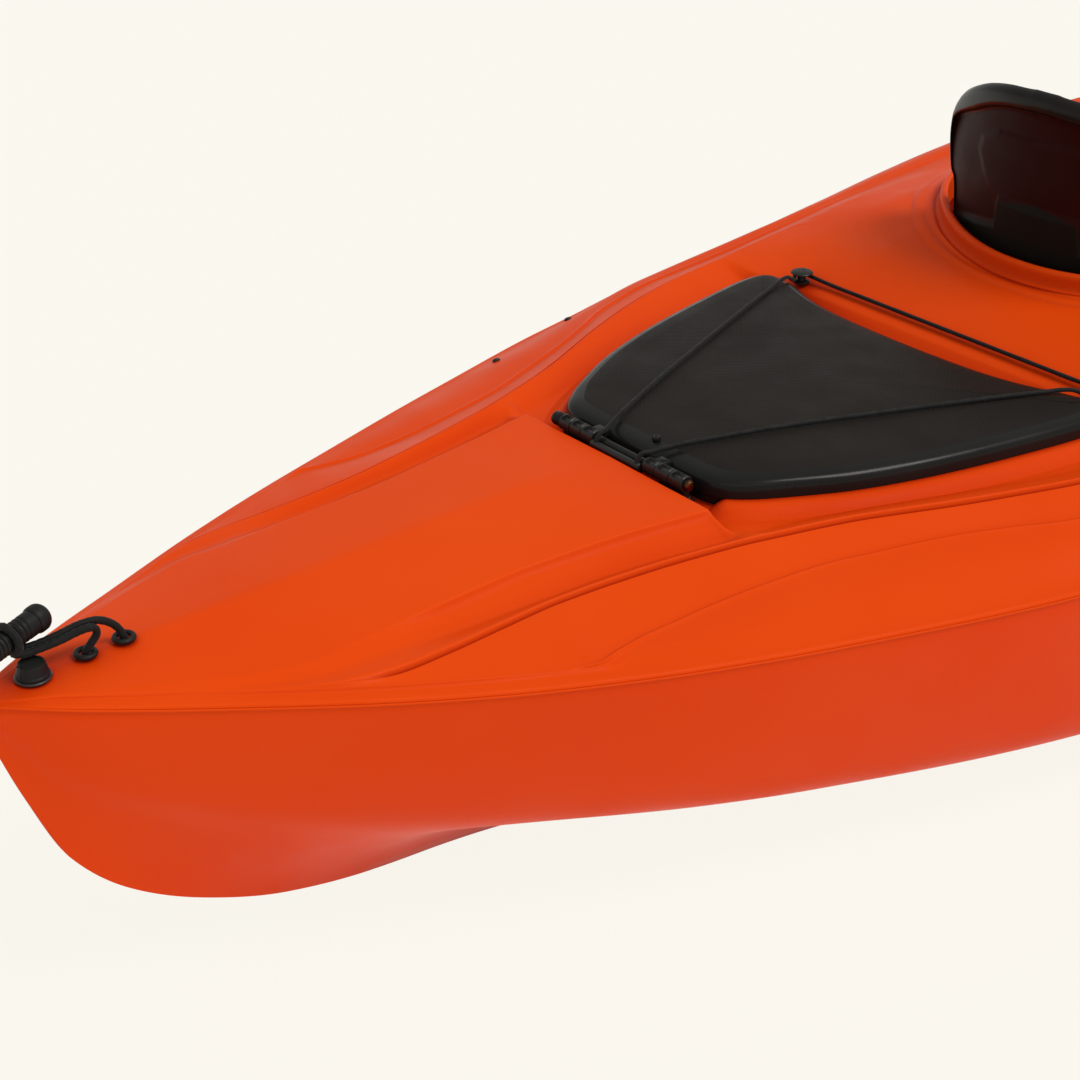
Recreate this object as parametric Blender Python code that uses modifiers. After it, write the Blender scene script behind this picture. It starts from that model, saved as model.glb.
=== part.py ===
"""Recreational sit-in kayak, about three metres long.

Metres, +Z up. +X points to the bow and +Y to port. The origin is under the middle of the boat,
on the ground plane that the keel rests on. Lengths along the boat are given as distances from
the stern, because the lines of a hull are measured that way.
"""
import bpy
import bmesh
import math
import numpy as np
from mathutils import Matrix, Vector

# Driving dimensions
LENGTH = 3.050
HULL_WALL = 0.0045
DECK_WALL = 0.0040
FIT_GAP = 0.0003
SEAM_GAP = 0.0002
HULL_TIP = 0.030
DECK_TIP = 0.100
TIP_SQUEEZE = 0.1

# Lines of the boat: distance from the stern, then the value there
HALF_BEAM = [(0, .006), (.05, .042), (.15, .0994), (.25, .1532), (.35, .1992), (.50, .2562), (.60, .2892),
             (.75, .334), (.825, .3502), (.90, .3618), (1.00, .3686), (1.10, .3727), (1.20, .375), (1.525, .375),
             (1.90, .357), (2.25, .305), (2.60, .218), (2.85, .126), (2.98, .053), (LENGTH, .006)]
SHEER = [(0, .3048), (.15, .2874), (.25, .2777), (.35, .270), (.45, .2643), (.55, .261),
         (.70, .2575), (.85, .256), (1.00, .257), (1.20, .262), (1.40, .268), (1.60, .273),
         (2.00, .283), (2.40, .296), (2.75, .311), (LENGTH, .330)]
KEEL = [(0, .286), (.022, .217), (.049, .151), (.092, .102), (.151, .064), (.221, .035), (.298, .018),
        (.365, .011), (.45, .006), (.60, 0), (2.35, 0), (2.50, .004), (2.65, .020), (2.80, .058), (2.90, .108),
        (2.96, .155), (3.00, .205), (3.03, .262), (LENGTH, .320)]
CHINE_SHARE = [(0, .45), (.15, .55), (.35, .66), (.50, .745), (.75, .82), (1.00, .88), (1.525, .87),
               (2.00, .85), (2.40, .78), (2.70, .66), (LENGTH, .45)]
CHINE_RISE = [(0, .50), (.15, .45), (.35, .38), (.50, .33), (1.00, .228), (1.525, .215), (2.10, .24),
              (2.50, .32), (2.80, .42), (LENGTH, .50)]
FLAT_BOTTOM = [(0, .10), (.15, .10), (.35, .08), (.60, .25), (.90, .30), (2.10, .30), (2.50, .20),
               (2.80, .10), (LENGTH, .10)]
BOTTOM_POWER = [(0, 1.0), (.20, .8), (.40, .6), (.60, .9), (.90, 1.5), (2.10, 1.5), (2.50, 1.1),
                (2.80, .9), (LENGTH, 1.0)]
SIDE_POWER = 0.7

# Deck creases, each a share of the half beam and a height: panel edge, valley, ridge, side crease
EDGE_SHARE = [(0, .60), (.10, .70), (.15, .74), (.20, .715), (.25, .590), (.30, .511), (.35, .454), (.40, .417),
              (.45, .406), (.50, .402), (.55, .409), (.58, .414), (.78, .43), (1.10, .40), (LENGTH, .35)]
EDGE_RISE = [(0, .3063), (.05, .3055), (.10, .303), (.20, .2985), (.25, .300), (.30, .3025), (.35, .3040),
             (.40, .3057), (.50, .3077), (.567, .3077)]
VALLEY_SHARE = [(0, .72), (.10, .80), (.15, .83), (.20, .80), (.25, .70), (.30, .615), (.35, .565), (.40, .536),
                (.45, .509), (.50, .501), (.55, .508), (.60, .505), (.68, .53), (.78, .60), (.88, .66),
                (1.00, .68), (1.10, .62), (LENGTH, .60)]
VALLEY_RISE = [(0, .3062), (.05, .305), (.10, .3015), (.20, .2935), (.30, .2925), (.40, .2940), (.50, .295),
               (.567, .295)]
RIDGE_SHARE = [(0, .84), (.10, .89), (.15, .92), (.20, .885), (.25, .825), (.30, .725), (.35, .645), (.40, .593),
               (.45, .573), (.50, .566), (.55, .570), (.60, .588), (.65, .611), (.69, .640), (.73, .672),
               (.78, .706), (.84, .741), (.90, .765), (1.00, .79), (1.10, .76), (LENGTH, .74)]
RIDGE_RISE = [(0, .3060), (.05, .3045), (.10, .3005), (.20, .2935), (.30, .2930), (.40, .2965), (.45, .2986),
              (.50, .3001), (.58, .3015), (.68, .303), (.78, .304), (.97, .303), (1.064, .314), (1.20, .328),
              (1.60, .3325), (2.00, .333), (2.30, .329), (2.80, .3295), (LENGTH, .334)]
CREASE_SHARE = [(0, .90), (.10, .93), (.20, .955), (.30, .965), (.356, .96), (.375, .945), (.406, .872),
                (.438, .812), (.468, .779), (.50, .751), (.55, .727), (.60, .717), (.65, .732), (.71, .755),
                (.75, .783), (.81, .835), (.90, .87), (1.10, .88), (LENGTH, .87)]
CREASE_RISE = [(0, .3058), (.05, .3035), (.10, .2992), (.20, .291), (.30, .2830), (.36, .2785), (.40, .2775),
               (.45, .2770), (.50, .279), (.55, .2815), (.62, .284), (.75, .287), (.90, .287), (1.00, .289),
               (1.10, .296), (1.20, .3055), (1.30, .3145), (1.40, .3215), (1.60, .3275), (2.00, .322),
               (2.30, .316), (2.80, .319), (LENGTH, .333)]
CROWN = [(0, .3065), (.05, .3075), (.15, .3110), (.30, .3135), (.46, .3160), (.567, .3095)]
SIDE_BULGE = [(0, 0), (.36, 0), (.50, .003), (.80, .006), (1.00, .007), (1.20, .005), (1.60, .003), (2.30, .003),
              (LENGTH, 0)]
ROLL_RISE = [(0, .0008), (.05, .004), (.12, .006), (.78, .006), (.90, .013), (1.00, .019), (1.10, .0249),
             (1.20, .0322), (1.30, .0417), (1.40, .0487), (1.60, .0560), (2.00, .0390), (2.40, .0185),
             (2.75, .007), (2.95, .005), (LENGTH, .003)]
ROLL_WIDTH = 0.010
ROLL_SHOULDER = 0.66
ROLL_DROP = 0.005
CREASE_SPACING = 0.975
RECESS_START = 0.567
RECESS_FLOOR_START = 0.5745
RECESS_FLOOR_END = 0.964
RECESS_END = 0.972
RECESS_FLOOR = 0.2905
FORE_CROWN = [(RECESS_END, .300), (1.064, .333), (1.20, .352), (1.60, .356), (2.02, .368),
              (2.30, .369), (2.80, .350), (LENGTH, .336)]
FORE_EDGE = [(RECESS_END, .300), (1.064, .331), (1.20, .350), (1.60, .354), (2.02, .364),
             (2.30, .363), (2.80, .346), (LENGTH, .3355)]
FORE_VALLEY = [(RECESS_END, .299), (1.064, .322), (1.20, .341), (1.60, .344), (2.02, .349),
               (2.30, .346), (2.80, .337), (LENGTH, .335)]

# Cockpit: an oval with a short aft end and a long fore end
COCKPIT_WIDEST = 1.391
COCKPIT_HALF_WIDTH = 0.235
COCKPIT_AFT = 0.300
COCKPIT_FORE = 0.640
COAMING_RISE = 0.026

# Hatch cover, from the stern side to the front side, one half of it
COVER_OUTLINE = [(.592, 0), (.592, .050), (.594, .082), (.601, .100), (.616, .114), (.640, .129),
                 (.690, .155), (.745, .175), (.800, .190), (.860, .203), (.910, .212), (.938, .213),
                 (.954, .206), (.960, .191), (.955, .166), (.941, .126), (.933, .080), (.930, 0)]
COVER_BOTTOM = 0.3000
COVER_TOP = 0.3215
COVER_WALL = 0.0035
HATCH_HOLE_SCALE = 0.88
HINGE = (0.579, 0.311)
ROD_RADIUS = 0.0040
KNUCKLE_RADIUS = 0.0070
KNUCKLE_BORE = 0.0044
BUNGEE_RADIUS = 0.0024
HOOK_PLACE = (0.981, 0.183)

# Carry handles, drain plug and grommets, as distances from their end of the boat
GROMMETS = (0.082, 0.112)
CORD_RADIUS = 0.0026
PLUG_PLACE = 0.042
GRIP_CENTRE = (0.030, 0.006, 0.3395)
GRIP_YAW = math.radians(20)
GRIP_PITCH = math.radians(-4)
GRIP_LENGTH = 0.076

# Seat and foot braces
BACKREST_PIVOT = (1.150, 0.110)
RAIL_FROM = 2.16
RAIL_TO = 2.50
RAIL_HEIGHT = 0.145

ORANGE = (0.86, 0.20, 0.03, 1)
BLACK = (0.03, 0.03, 0.032, 1)
SOFT_BLACK = (0.05, 0.05, 0.055, 1)
BRASS = (0.70, 0.42, 0.18, 1)
STEEL = (0.62, 0.62, 0.64, 1)
FOAM = (0.80, 0.80, 0.78, 1)


def clear_scene():
    for item in list(bpy.data.objects):
        bpy.data.objects.remove(item, do_unlink=True)


def collection(name):
    made = bpy.data.collections.new(name)
    bpy.context.scene.collection.children.link(made)
    return made


def through(knots, at):
    """Smooth curve through the knots that never overshoots them."""
    spots = [spot for spot, _ in knots]
    values = [value for _, value in knots]
    if at <= spots[0]:
        return values[0]
    if at >= spots[-1]:
        return values[-1]
    rises = [(values[i + 1] - values[i]) / (spots[i + 1] - spots[i]) for i in range(len(spots) - 1)]
    slopes = [rises[0]]
    for before, after in zip(rises[:-1], rises[1:]):
        slopes.append(0.0 if before * after <= 0 else 2 * before * after / (before + after))
    slopes.append(rises[-1])
    i = next(k for k in range(len(rises)) if at <= spots[k + 1])
    span = spots[i + 1] - spots[i]
    t = (at - spots[i]) / span
    start = values[i] * (1 + 2 * t) * (1 - t) ** 2 + slopes[i] * span * t * (1 - t) ** 2
    end = values[i + 1] * t * t * (3 - 2 * t) + slopes[i + 1] * span * t * t * (t - 1)
    return start + end


def along(aft):
    """X of a distance from the stern."""
    return aft - LENGTH / 2


def material(name, colour, roughness=0.5, metallic=0.0):
    made = bpy.data.materials.new(name)
    made.use_nodes = True
    shader = made.node_tree.nodes["Principled BSDF"]
    shader.inputs["Base Color"].default_value = colour
    shader.inputs["Roughness"].default_value = roughness
    shader.inputs["Metallic"].default_value = metallic
    return made


def place(name, mesh, finish, group):
    made = bpy.data.objects.new(name, mesh)
    if finish:
        mesh.materials.append(finish)
    group.objects.link(made)
    if group is CUTTERS:
        made.hide_render = True
        made.display_type = "WIRE"
    return made


def mesh_of(name, vertices, faces):
    mesh = bpy.data.meshes.new(name)
    shape = bmesh.new()
    made = [shape.verts.new(point) for point in vertices]
    for face in faces:
        shape.faces.new([made[i] for i in face])
    bmesh.ops.recalc_face_normals(shape, faces=shape.faces[:])
    shape.to_mesh(mesh)
    shape.free()
    return mesh


def smooth(item, angle=35):
    item.data.shade_smooth()
    item.data.set_sharp_from_angle(angle=math.radians(angle))
    return item


def boolean(item, other, operation="DIFFERENCE"):
    cut = item.modifiers.new(operation.title() + "_" + other.name, "BOOLEAN")
    cut.operation = operation
    cut.object = other
    return item


def cup(name, outer, inner, finish, group):
    """Closed wall between an outer and an inner loft whose rows run from side to side."""
    rows = len(outer)
    width = len(outer[0])
    vertices = [point for row in outer for point in row] + [point for row in inner for point in row]
    shift = rows * width
    faces = []
    for i in range(rows - 1):
        for j in range(width - 1):
            corner = i * width + j
            quad = [corner, corner + 1, corner + width + 1, corner + width]
            faces.append(quad)
            faces.append([shift + k for k in quad])
        for j in (0, width - 1):
            corner = i * width + j
            faces.append([corner, corner + width, corner + width + shift, corner + shift])
    for i in (0, rows - 1):
        end = [i * width + j for j in range(width)]
        faces.append(end)
        faces.append([shift + k for k in end])
        faces.append([end[0], end[-1], end[-1] + shift, end[0] + shift])
    return smooth(place(name, mesh_of(name, vertices, faces), finish, group))


def plate(name, front, back, finish, group):
    """Closed plate between two grids of points, joined all round their edges."""
    rows = len(front)
    width = len(front[0])
    vertices = [point for row in front for point in row] + [point for row in back for point in row]
    shift = rows * width
    faces = []
    for i in range(rows - 1):
        for j in range(width - 1):
            corner = i * width + j
            quad = [corner, corner + 1, corner + width + 1, corner + width]
            faces.append(quad)
            faces.append([shift + k for k in quad])
        for j in (0, width - 1):
            corner = i * width + j
            faces.append([corner, corner + width, corner + width + shift, corner + shift])
    for i in (0, rows - 1):
        for j in range(width - 1):
            corner = i * width + j
            faces.append([corner, corner + 1, corner + 1 + shift, corner + shift])
    return smooth(place(name, mesh_of(name, vertices, faces), finish, group))


def rings(name, loops, finish, group, closed=False):
    """Solid lofted through closed loops of points, capped at its ends or joined into a ring."""
    count = len(loops)
    size = len(loops[0])
    vertices = [point for loop in loops for point in loop]
    faces = []
    for i in range(count if closed else count - 1):
        for j in range(size):
            following = (j + 1) % size
            base = i * size
            above = ((i + 1) % count) * size
            faces.append([base + j, base + following, above + following, above + j])
    if not closed:
        faces.append(list(range(size)))
        faces.append([(count - 1) * size + j for j in range(size)])
    return smooth(place(name, mesh_of(name, vertices, faces), finish, group))


def box(name, low, high, finish, group, bevel=0.0):
    mesh = bpy.data.meshes.new(name)
    shape = bmesh.new()
    bmesh.ops.create_cube(shape, size=1)
    size = Vector(high) - Vector(low)
    bmesh.ops.scale(shape, vec=size, verts=shape.verts[:])
    shape.to_mesh(mesh)
    shape.free()
    made = place(name, mesh, finish, group)
    made.location = (Vector(low) + Vector(high)) / 2
    if bevel:
        rounding = made.modifiers.new("Rounding", "BEVEL")
        rounding.width = bevel
        rounding.segments = 1
    return made


def rod(name, start, end, radius, finish, group, sides=16):
    """Cylinder from one point to another."""
    start = Vector(start)
    end = Vector(end)
    mesh = bpy.data.meshes.new(name)
    shape = bmesh.new()
    bmesh.ops.create_cone(shape, cap_ends=True, segments=sides, radius1=radius, radius2=radius,
                          depth=(end - start).length)
    shape.to_mesh(mesh)
    shape.free()
    made = place(name, mesh, finish, group)
    made.location = (start + end) / 2
    made.rotation_euler = (end - start).to_track_quat("Z", "Y").to_euler()
    return smooth(made)


def turned(name, profile, finish, group, closed=False, steps=16):
    """Solid of revolution about Z: the profile of radii and heights runs down its outer side."""
    mesh = bpy.data.meshes.new(name)
    shape = bmesh.new()
    points = [shape.verts.new((radius, 0, height)) for radius, height in profile]
    for first, second in zip(points[:-1], points[1:]):
        shape.edges.new((first, second))
    if closed:
        shape.edges.new((points[-1], points[0]))
    shape.to_mesh(mesh)
    shape.free()
    made = place(name, mesh, finish, group)
    screw = made.modifiers.new("Turned", "SCREW")
    screw.axis = "Z"
    screw.steps = steps
    screw.render_steps = steps
    screw.use_merge_vertices = True
    screw.merge_threshold = 0.00001
    screw.use_smooth_shade = True
    return made


def tube(name, points, radius, finish, group, closed=False):
    """Cord or wire through the points, as a curve with a round bevel."""
    curve = bpy.data.curves.new(name, "CURVE")
    curve.dimensions = "3D"
    curve.bevel_depth = radius
    curve.bevel_resolution = 2
    curve.use_fill_caps = not closed
    spline = curve.splines.new("POLY")
    spline.points.add(len(points) - 1)
    for target, point in zip(spline.points, points):
        target.co = (*point, 1)
    spline.use_cyclic_u = closed
    return place(name, curve, finish, group)


def eased(points, between, closed=False):
    """Points read from a smooth curve that passes through the given ones."""
    points = [Vector(point) for point in points]
    count = len(points)
    last = count if closed else count - 1
    made = []
    for i in range(last):
        if closed:
            around = [points[(i + k) % count] for k in (-1, 0, 1, 2)]
        else:
            around = [points[min(max(i + k, 0), count - 1)] for k in (-1, 0, 1, 2)]
        for step in range(between):
            t = step / between
            made.append(0.5 * (2 * around[1] + (around[2] - around[0]) * t
                               + (2 * around[0] - 5 * around[1] + 4 * around[2] - around[3]) * t * t
                               + (3 * around[1] - around[0] - 3 * around[2] + around[3]) * t ** 3))
    if not closed:
        made.append(points[-1])
    return made


# Lines of the hull and the deck

def stations():
    """Distances from the stern, crowded towards both tips and at the hatch recess."""
    count = 34
    steps = [RECESS_START, RECESS_FLOOR_START, RECESS_FLOOR_END, RECESS_END, 1.064]
    spread = [LENGTH / 2 * (1 - math.cos(math.pi * i / count)) for i in range(count + 1)]
    kept = [at for at in spread if min(abs(at - step) for step in steps) > 0.014]
    return sorted(kept + steps)


def squeezed(aft, tip):
    """Where the inside of a station lies: the tips of the shells are nearly solid."""
    if aft < tip:
        return tip - (tip - aft) * TIP_SQUEEZE
    if aft > LENGTH - tip:
        return LENGTH - tip + (aft - LENGTH + tip) * TIP_SQUEEZE
    return aft


def hull_half(aft, wall=0.0):
    """Half section from the keel to the gunwale, as breadths and heights."""
    beam = through(HALF_BEAM, aft) - wall
    top = through(SHEER, aft) - SEAM_GAP
    keel = through(KEEL, aft) + wall
    chine_breadth = through(CHINE_SHARE, aft) * beam
    chine_height = keel + through(CHINE_RISE, aft) * (top - keel)
    flat = through(FLAT_BOTTOM, aft) * chine_breadth
    power = through(BOTTOM_POWER, aft)
    points = [(0.0, keel), (flat, keel)]
    for share in (.15, .4, .7, 1.0):
        points.append((flat + (chine_breadth - flat) * share,
                       keel + (chine_height - keel) * share ** power))
    for share in (.12, .35, .65, 1.0):
        points.append((chine_breadth + (beam - chine_breadth) * share ** SIDE_POWER,
                       chine_height + (top - chine_height) * share))
    return points


def side_breadth(aft, height):
    """Half breadth of the hull's inner face at a height above the chine."""
    half = hull_half(aft, HULL_WALL)
    return float(np.interp(height, [z for _, z in half[5:]], [y for y, _ in half[5:]]))


def crease_places(aft, beam, roll):
    """Breadths of the deck's creases, in order from the centreline and clear of the gunwale's roll."""
    limit = beam - roll
    places = []
    for line in (CREASE_SHARE, RIDGE_SHARE, VALLEY_SHARE, EDGE_SHARE):
        limit = min(through(line, aft) * beam, CREASE_SPACING * limit)
        places.append(limit)
    return places[::-1]


def deck_half(aft):
    """Half section of the deck's top from the centreline to the gunwale."""
    beam = through(HALF_BEAM, aft)
    if aft <= RECESS_START:
        heights = [through(line, aft) for line in (CROWN, EDGE_RISE, VALLEY_RISE)]
    elif aft < RECESS_FLOOR_START:
        share = (aft - RECESS_START) / (RECESS_FLOOR_START - RECESS_START)
        behind = [through(line, RECESS_START) for line in (CROWN, EDGE_RISE, VALLEY_RISE)]
        heights = [height + (RECESS_FLOOR - height) * share for height in behind]
    elif aft <= RECESS_FLOOR_END:
        heights = [RECESS_FLOOR] * 3
    elif aft < RECESS_END:
        share = (aft - RECESS_FLOOR_END) / (RECESS_END - RECESS_FLOOR_END)
        ahead = [through(line, RECESS_END) for line in (FORE_CROWN, FORE_EDGE, FORE_VALLEY)]
        heights = [RECESS_FLOOR + (height - RECESS_FLOOR) * share for height in ahead]
    else:
        heights = [through(line, aft) for line in (FORE_CROWN, FORE_EDGE, FORE_VALLEY)]
    crown, edge, valley = heights
    roll = min(ROLL_WIDTH, beam / 4)
    edge_breadth, valley_breadth, ridge_breadth, crease_breadth = crease_places(aft, beam, roll)
    crease = through(CREASE_RISE, aft)
    top = through(SHEER, aft) + through(ROLL_RISE, aft)
    low = top - min((1 - ROLL_SHOULDER) * through(ROLL_RISE, aft), ROLL_DROP)
    return [(0.0, crown), (edge_breadth / 2, 0.55 * crown + 0.45 * edge), (edge_breadth, edge),
            (valley_breadth, valley), (ridge_breadth, through(RIDGE_RISE, aft)), (crease_breadth, crease),
            ((crease_breadth + beam - roll) / 2, (crease + top) / 2 + through(SIDE_BULGE, aft)),
            (beam - roll, top), (beam - 0.15 * roll, low)]


def deck_height(aft, breadth):
    half = deck_half(aft)
    return float(np.interp(abs(breadth), [y for y, _ in half], [z for _, z in half]))


def both_sides(aft, half):
    """Row of points from the starboard edge over the centreline to the port edge."""
    x = along(aft)
    starboard = [(x, -y, z) for y, z in reversed(half)]
    return starboard + [(x, y, z) for y, z in half[1:]]


def make_hull(finish):
    spots = stations()
    outer = [both_sides(aft, hull_half(aft)) for aft in spots]
    inside = [squeezed(aft, HULL_TIP) for aft in spots]
    inner = [both_sides(aft, hull_half(aft, HULL_WALL)) for aft in inside]
    return cup("hull_shell", outer, inner, finish, PARTS)


def deck_rows(aft, wall):
    """Row of the deck's top, or of its underside where there is a wall."""
    half = deck_half(aft)
    beam = through(HALF_BEAM, aft)
    rim = through(SHEER, aft) + SEAM_GAP
    if not wall:
        return both_sides(aft, half + [(beam, rim)])
    roll = min(ROLL_WIDTH, beam / 4)
    edge = beam - wall
    shoulder = edge - 0.35 * roll
    shrink = min(edge / beam, (shoulder - 0.0005) / half[-3][0])
    under = [(y * shrink, max(z - wall, rim + 0.0016)) for y, z in half[:-2]]
    lip = [(shoulder, max(half[-2][1] - 1.5 * wall, rim + 0.0012)), (edge - 0.1 * roll, rim + 0.0006),
           (edge, rim)]
    return both_sides(aft, under + lip)


def cockpit_point(turn, offset):
    """Point on the cockpit oval, moved outwards by the offset."""
    reach = COCKPIT_FORE if math.cos(turn) > 0 else COCKPIT_AFT
    return (COCKPIT_WIDEST + (reach + offset) * math.cos(turn),
            (COCKPIT_HALF_WIDTH + offset) * math.sin(turn))


def oval_prism(name, offset, low, high):
    turns = [2 * math.pi * (k + 0.5) / 44 for k in range(44)]
    outline = [cockpit_point(turn, offset) for turn in turns]
    loops = [[(along(a), y, z) for a, y in outline] for z in (low, high)]
    return rings(name, loops, None, CUTTERS)


def coaming_ring():
    """Upstand round the cockpit with a small lip that turns outwards."""
    section = [(.000, -.008), (.006, -.008), (.006, .017), (.0095, .019),
               (.0095, .024), (.007, COAMING_RISE), (.000, COAMING_RISE)]
    loops = []
    for k in range(40):
        turn = 2 * math.pi * (k + 0.5) / 40
        loop = []
        base = deck_height(*cockpit_point(turn, 0.006))
        for offset, rise in section:
            a, y = cockpit_point(turn, offset)
            loop.append((along(a), y, base + rise))
        loops.append(loop)
    return rings("coaming_ring", loops, None, CUTTERS, closed=True)


def cover_loop(height, inset=0.0, scale=1.0):
    """The cover's outline as a closed loop at a height, inset along its normals or scaled."""
    half = COVER_OUTLINE
    flat = [(a, y) for a, y in half] + [(a, -y) for a, y in reversed(half[1:-1])]
    count = len(flat)
    middle = 0.775
    loop = []
    for i, (a, y) in enumerate(flat):
        before = flat[i - 1]
        after = flat[(i + 1) % count]
        tangent = Vector((after[0] - before[0], after[1] - before[1])).normalized()
        inward = Vector((tangent.y, -tangent.x))
        point = Vector((a, y)) + inward * inset
        loop.append((along(middle + (point.x - middle) * scale), point.y * scale, height))
    return loop


def end_place(end, distance):
    """Distance from the stern of a place measured from the stern or from the bow."""
    return distance if end == "stern" else LENGTH - distance


def make_deck(finish):
    spots = stations()
    outer = [deck_rows(aft, 0.0) for aft in spots]
    inner = [deck_rows(squeezed(aft, DECK_TIP), DECK_WALL) for aft in spots]
    deck = cup("deck_shell", outer, inner, finish, PARTS)
    boolean(deck, oval_prism("cockpit_cutter", 0.003, 0.20, 0.50))
    boolean(deck, coaming_ring(), "UNION")
    hole = [cover_loop(height, scale=HATCH_HOLE_SCALE) for height in (0.25, 0.33)]
    boolean(deck, rings("hatch_cutter", hole, None, CUTTERS))
    for end in ("stern", "bow"):
        for k, distance in enumerate(GROMMETS):
            x = along(end_place(end, distance))
            name = f"{end}_cord_hole_{k}"
            boolean(deck, rod(name, (x, 0, 0.28), (x, 0, 0.36), 0.0045, None, CUTTERS, 10))
    x = along(PLUG_PLACE)
    boolean(deck, rod("plug_hole", (x, 0, 0.28), (x, 0, 0.33), 0.0086, None, CUTTERS, 14))
    return deck


def make_seam_strips(finish):
    """Joint strips inside the gunwale, which tie the deck to the hull."""
    spots = [aft for aft in stations() if 0.10 < aft < LENGTH - 0.10]
    clear = 0.0008
    thick = 0.003
    deep = 0.022
    for side, name in ((1, "seam_joint_strip_port"), (-1, "seam_joint_strip_starboard")):
        loops = []
        for aft in spots:
            top = through(SHEER, aft) - 0.0008
            low = top - deep
            upper = side_breadth(aft, top) - clear
            lower = side_breadth(aft, low) - clear
            section = [(upper, top), (lower, low), (lower - thick, low), (upper - thick, top)]
            loops.append([(along(aft), side * y, z) for y, z in section])
        rings(name, loops, finish, PARTS)


def make_rivets(finish):
    for name, aft in (("gunwale_rivet_aft", 0.670), ("gunwale_rivet_fore", 0.787)):
        breadth = through(HALF_BEAM, aft) - 0.024
        height = max(deck_height(aft + 0.004 * math.cos(t), breadth + 0.004 * math.sin(t))
                     for t in (0, 1.6, 3.1, 4.7))
        head = turned(name, [(0, .0022), (.0028, .0016), (.0038, 0), (0, 0)], finish, PARTS, steps=10)
        head.location = (along(aft), breadth, height + 2 * FIT_GAP)


# Rear hatch

def make_cover(finish):
    levels = [(COVER_TOP + .0035, 0, .62), (COVER_TOP + .002, 0, .90), (COVER_TOP, .005, 1),
              (COVER_TOP - .003, .001, 1), (COVER_TOP - .008, 0, 1), (COVER_BOTTOM, 0, 1),
              (COVER_BOTTOM, COVER_WALL, 1), (COVER_TOP - .009, COVER_WALL, 1),
              (COVER_TOP - .0040, .0075, 1), (COVER_TOP - .0018, 0, .89), (COVER_TOP, 0, .62)]
    loops = [cover_loop(height, inset, scale) for height, inset, scale in levels]
    rings("hatch_cover", loops, finish, PARTS)


def make_gasket(finish):
    low = RECESS_FLOOR + FIT_GAP
    high = COVER_BOTTOM - FIT_GAP
    loops = [cover_loop(z, inset) for z, inset in ((low, .003), (high, .003), (high, .011), (low, .011))]
    rings("hatch_gasket", loops, finish, PARTS, closed=True)


def knuckle(name, y_low, y_high, pivot, radius, bore, arm, finish):
    """Barrel with an arm, bored for a rod along Y."""
    x = along(pivot[0])
    barrel = rod(name, (x, y_low, pivot[1]), (x, y_high, pivot[1]), radius, finish, PARTS)
    low, high = arm
    limb = box(name + "_limb", (along(low[0]), y_low + .0005, low[1]),
               (along(high[0]), y_high - .0005, high[1]), None, CUTTERS)
    boolean(barrel, limb, "UNION")
    drill = rod(name + "_drill", (x, y_low - .01, pivot[1]), (x, y_high + .01, pivot[1]), bore, None,
                CUTTERS)
    return boolean(barrel, drill)


def make_hinge(black, brass):
    floor = RECESS_FLOOR + FIT_GAP
    for name, low, high in (("hinge_bracket_port", .0490, .0770),
                            ("hinge_bracket_starboard", -.0770, -.0445)):
        foot = knuckle(name, low, high, HINGE, KNUCKLE_RADIUS, KNUCKLE_BORE,
                       ((.5775, floor), (.5835, .306)), black)
        sole = box(name + "_sole", (along(.576), low + .001, floor),
                   (along(.5905), high - .001, floor + .003), None, CUTTERS)
        boolean(foot, sole, "UNION")
        foot.modifiers.move(len(foot.modifiers) - 1, 1)
    for name, low, high in (("cover_hinge_arm_port", .0335, .0485),
                            ("cover_hinge_arm_starboard", -.0440, -.0300)):
        knuckle(name, low, high, HINGE, KNUCKLE_RADIUS, KNUCKLE_BORE,
                ((.5835, .3075), (.592 - FIT_GAP, .3145)), black)
    x = along(HINGE[0])
    rod("hinge_rod", (x, -.0785, HINGE[1]), (x, .0785, HINGE[1]), ROD_RADIUS, black, PARTS)
    for name, end, width, finish in (("hinge_rod_cap_port", .0788, .009, black),
                                     ("hinge_rod_cap_starboard", -.0788, -.004, brass)):
        rod(name, (x, end, HINGE[1]), (x, end + width, HINGE[1]), .0062, finish, PARTS, 12)
    sleeve = rod("hinge_sleeve", (x, -.0195, HINGE[1]), (x, .0205, HINGE[1]), .0056, black, PARTS)
    drill = rod("sleeve_drill", (x, -.03, HINGE[1]), (x, .03, HINGE[1]), KNUCKLE_BORE, None, CUTTERS)
    boolean(sleeve, drill)


def hook_height():
    a, y = HOOK_PLACE
    ring = [(a + .009 * math.cos(t), y + .009 * math.sin(t)) for t in (0, .8, 1.6, 2.4, 3.1, 3.9, 4.7, 5.5)]
    return max(deck_height(*spot) for spot in ring) + 2 * FIT_GAP


def make_hooks(finish):
    profile = [(0, .0165), (.0060, .0160), (.0102, .0142), (.0104, .0128), (.0042, .0118), (.0042, .0032),
               (.0085, .0020), (.0085, 0), (0, 0)]
    for name, side in (("bungee_hook_port", 1), ("bungee_hook_starboard", -1)):
        hook = turned(name, profile, finish, PARTS, steps=14)
        hook.location = (along(HOOK_PLACE[0]), side * HOOK_PLACE[1], hook_height())


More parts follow.
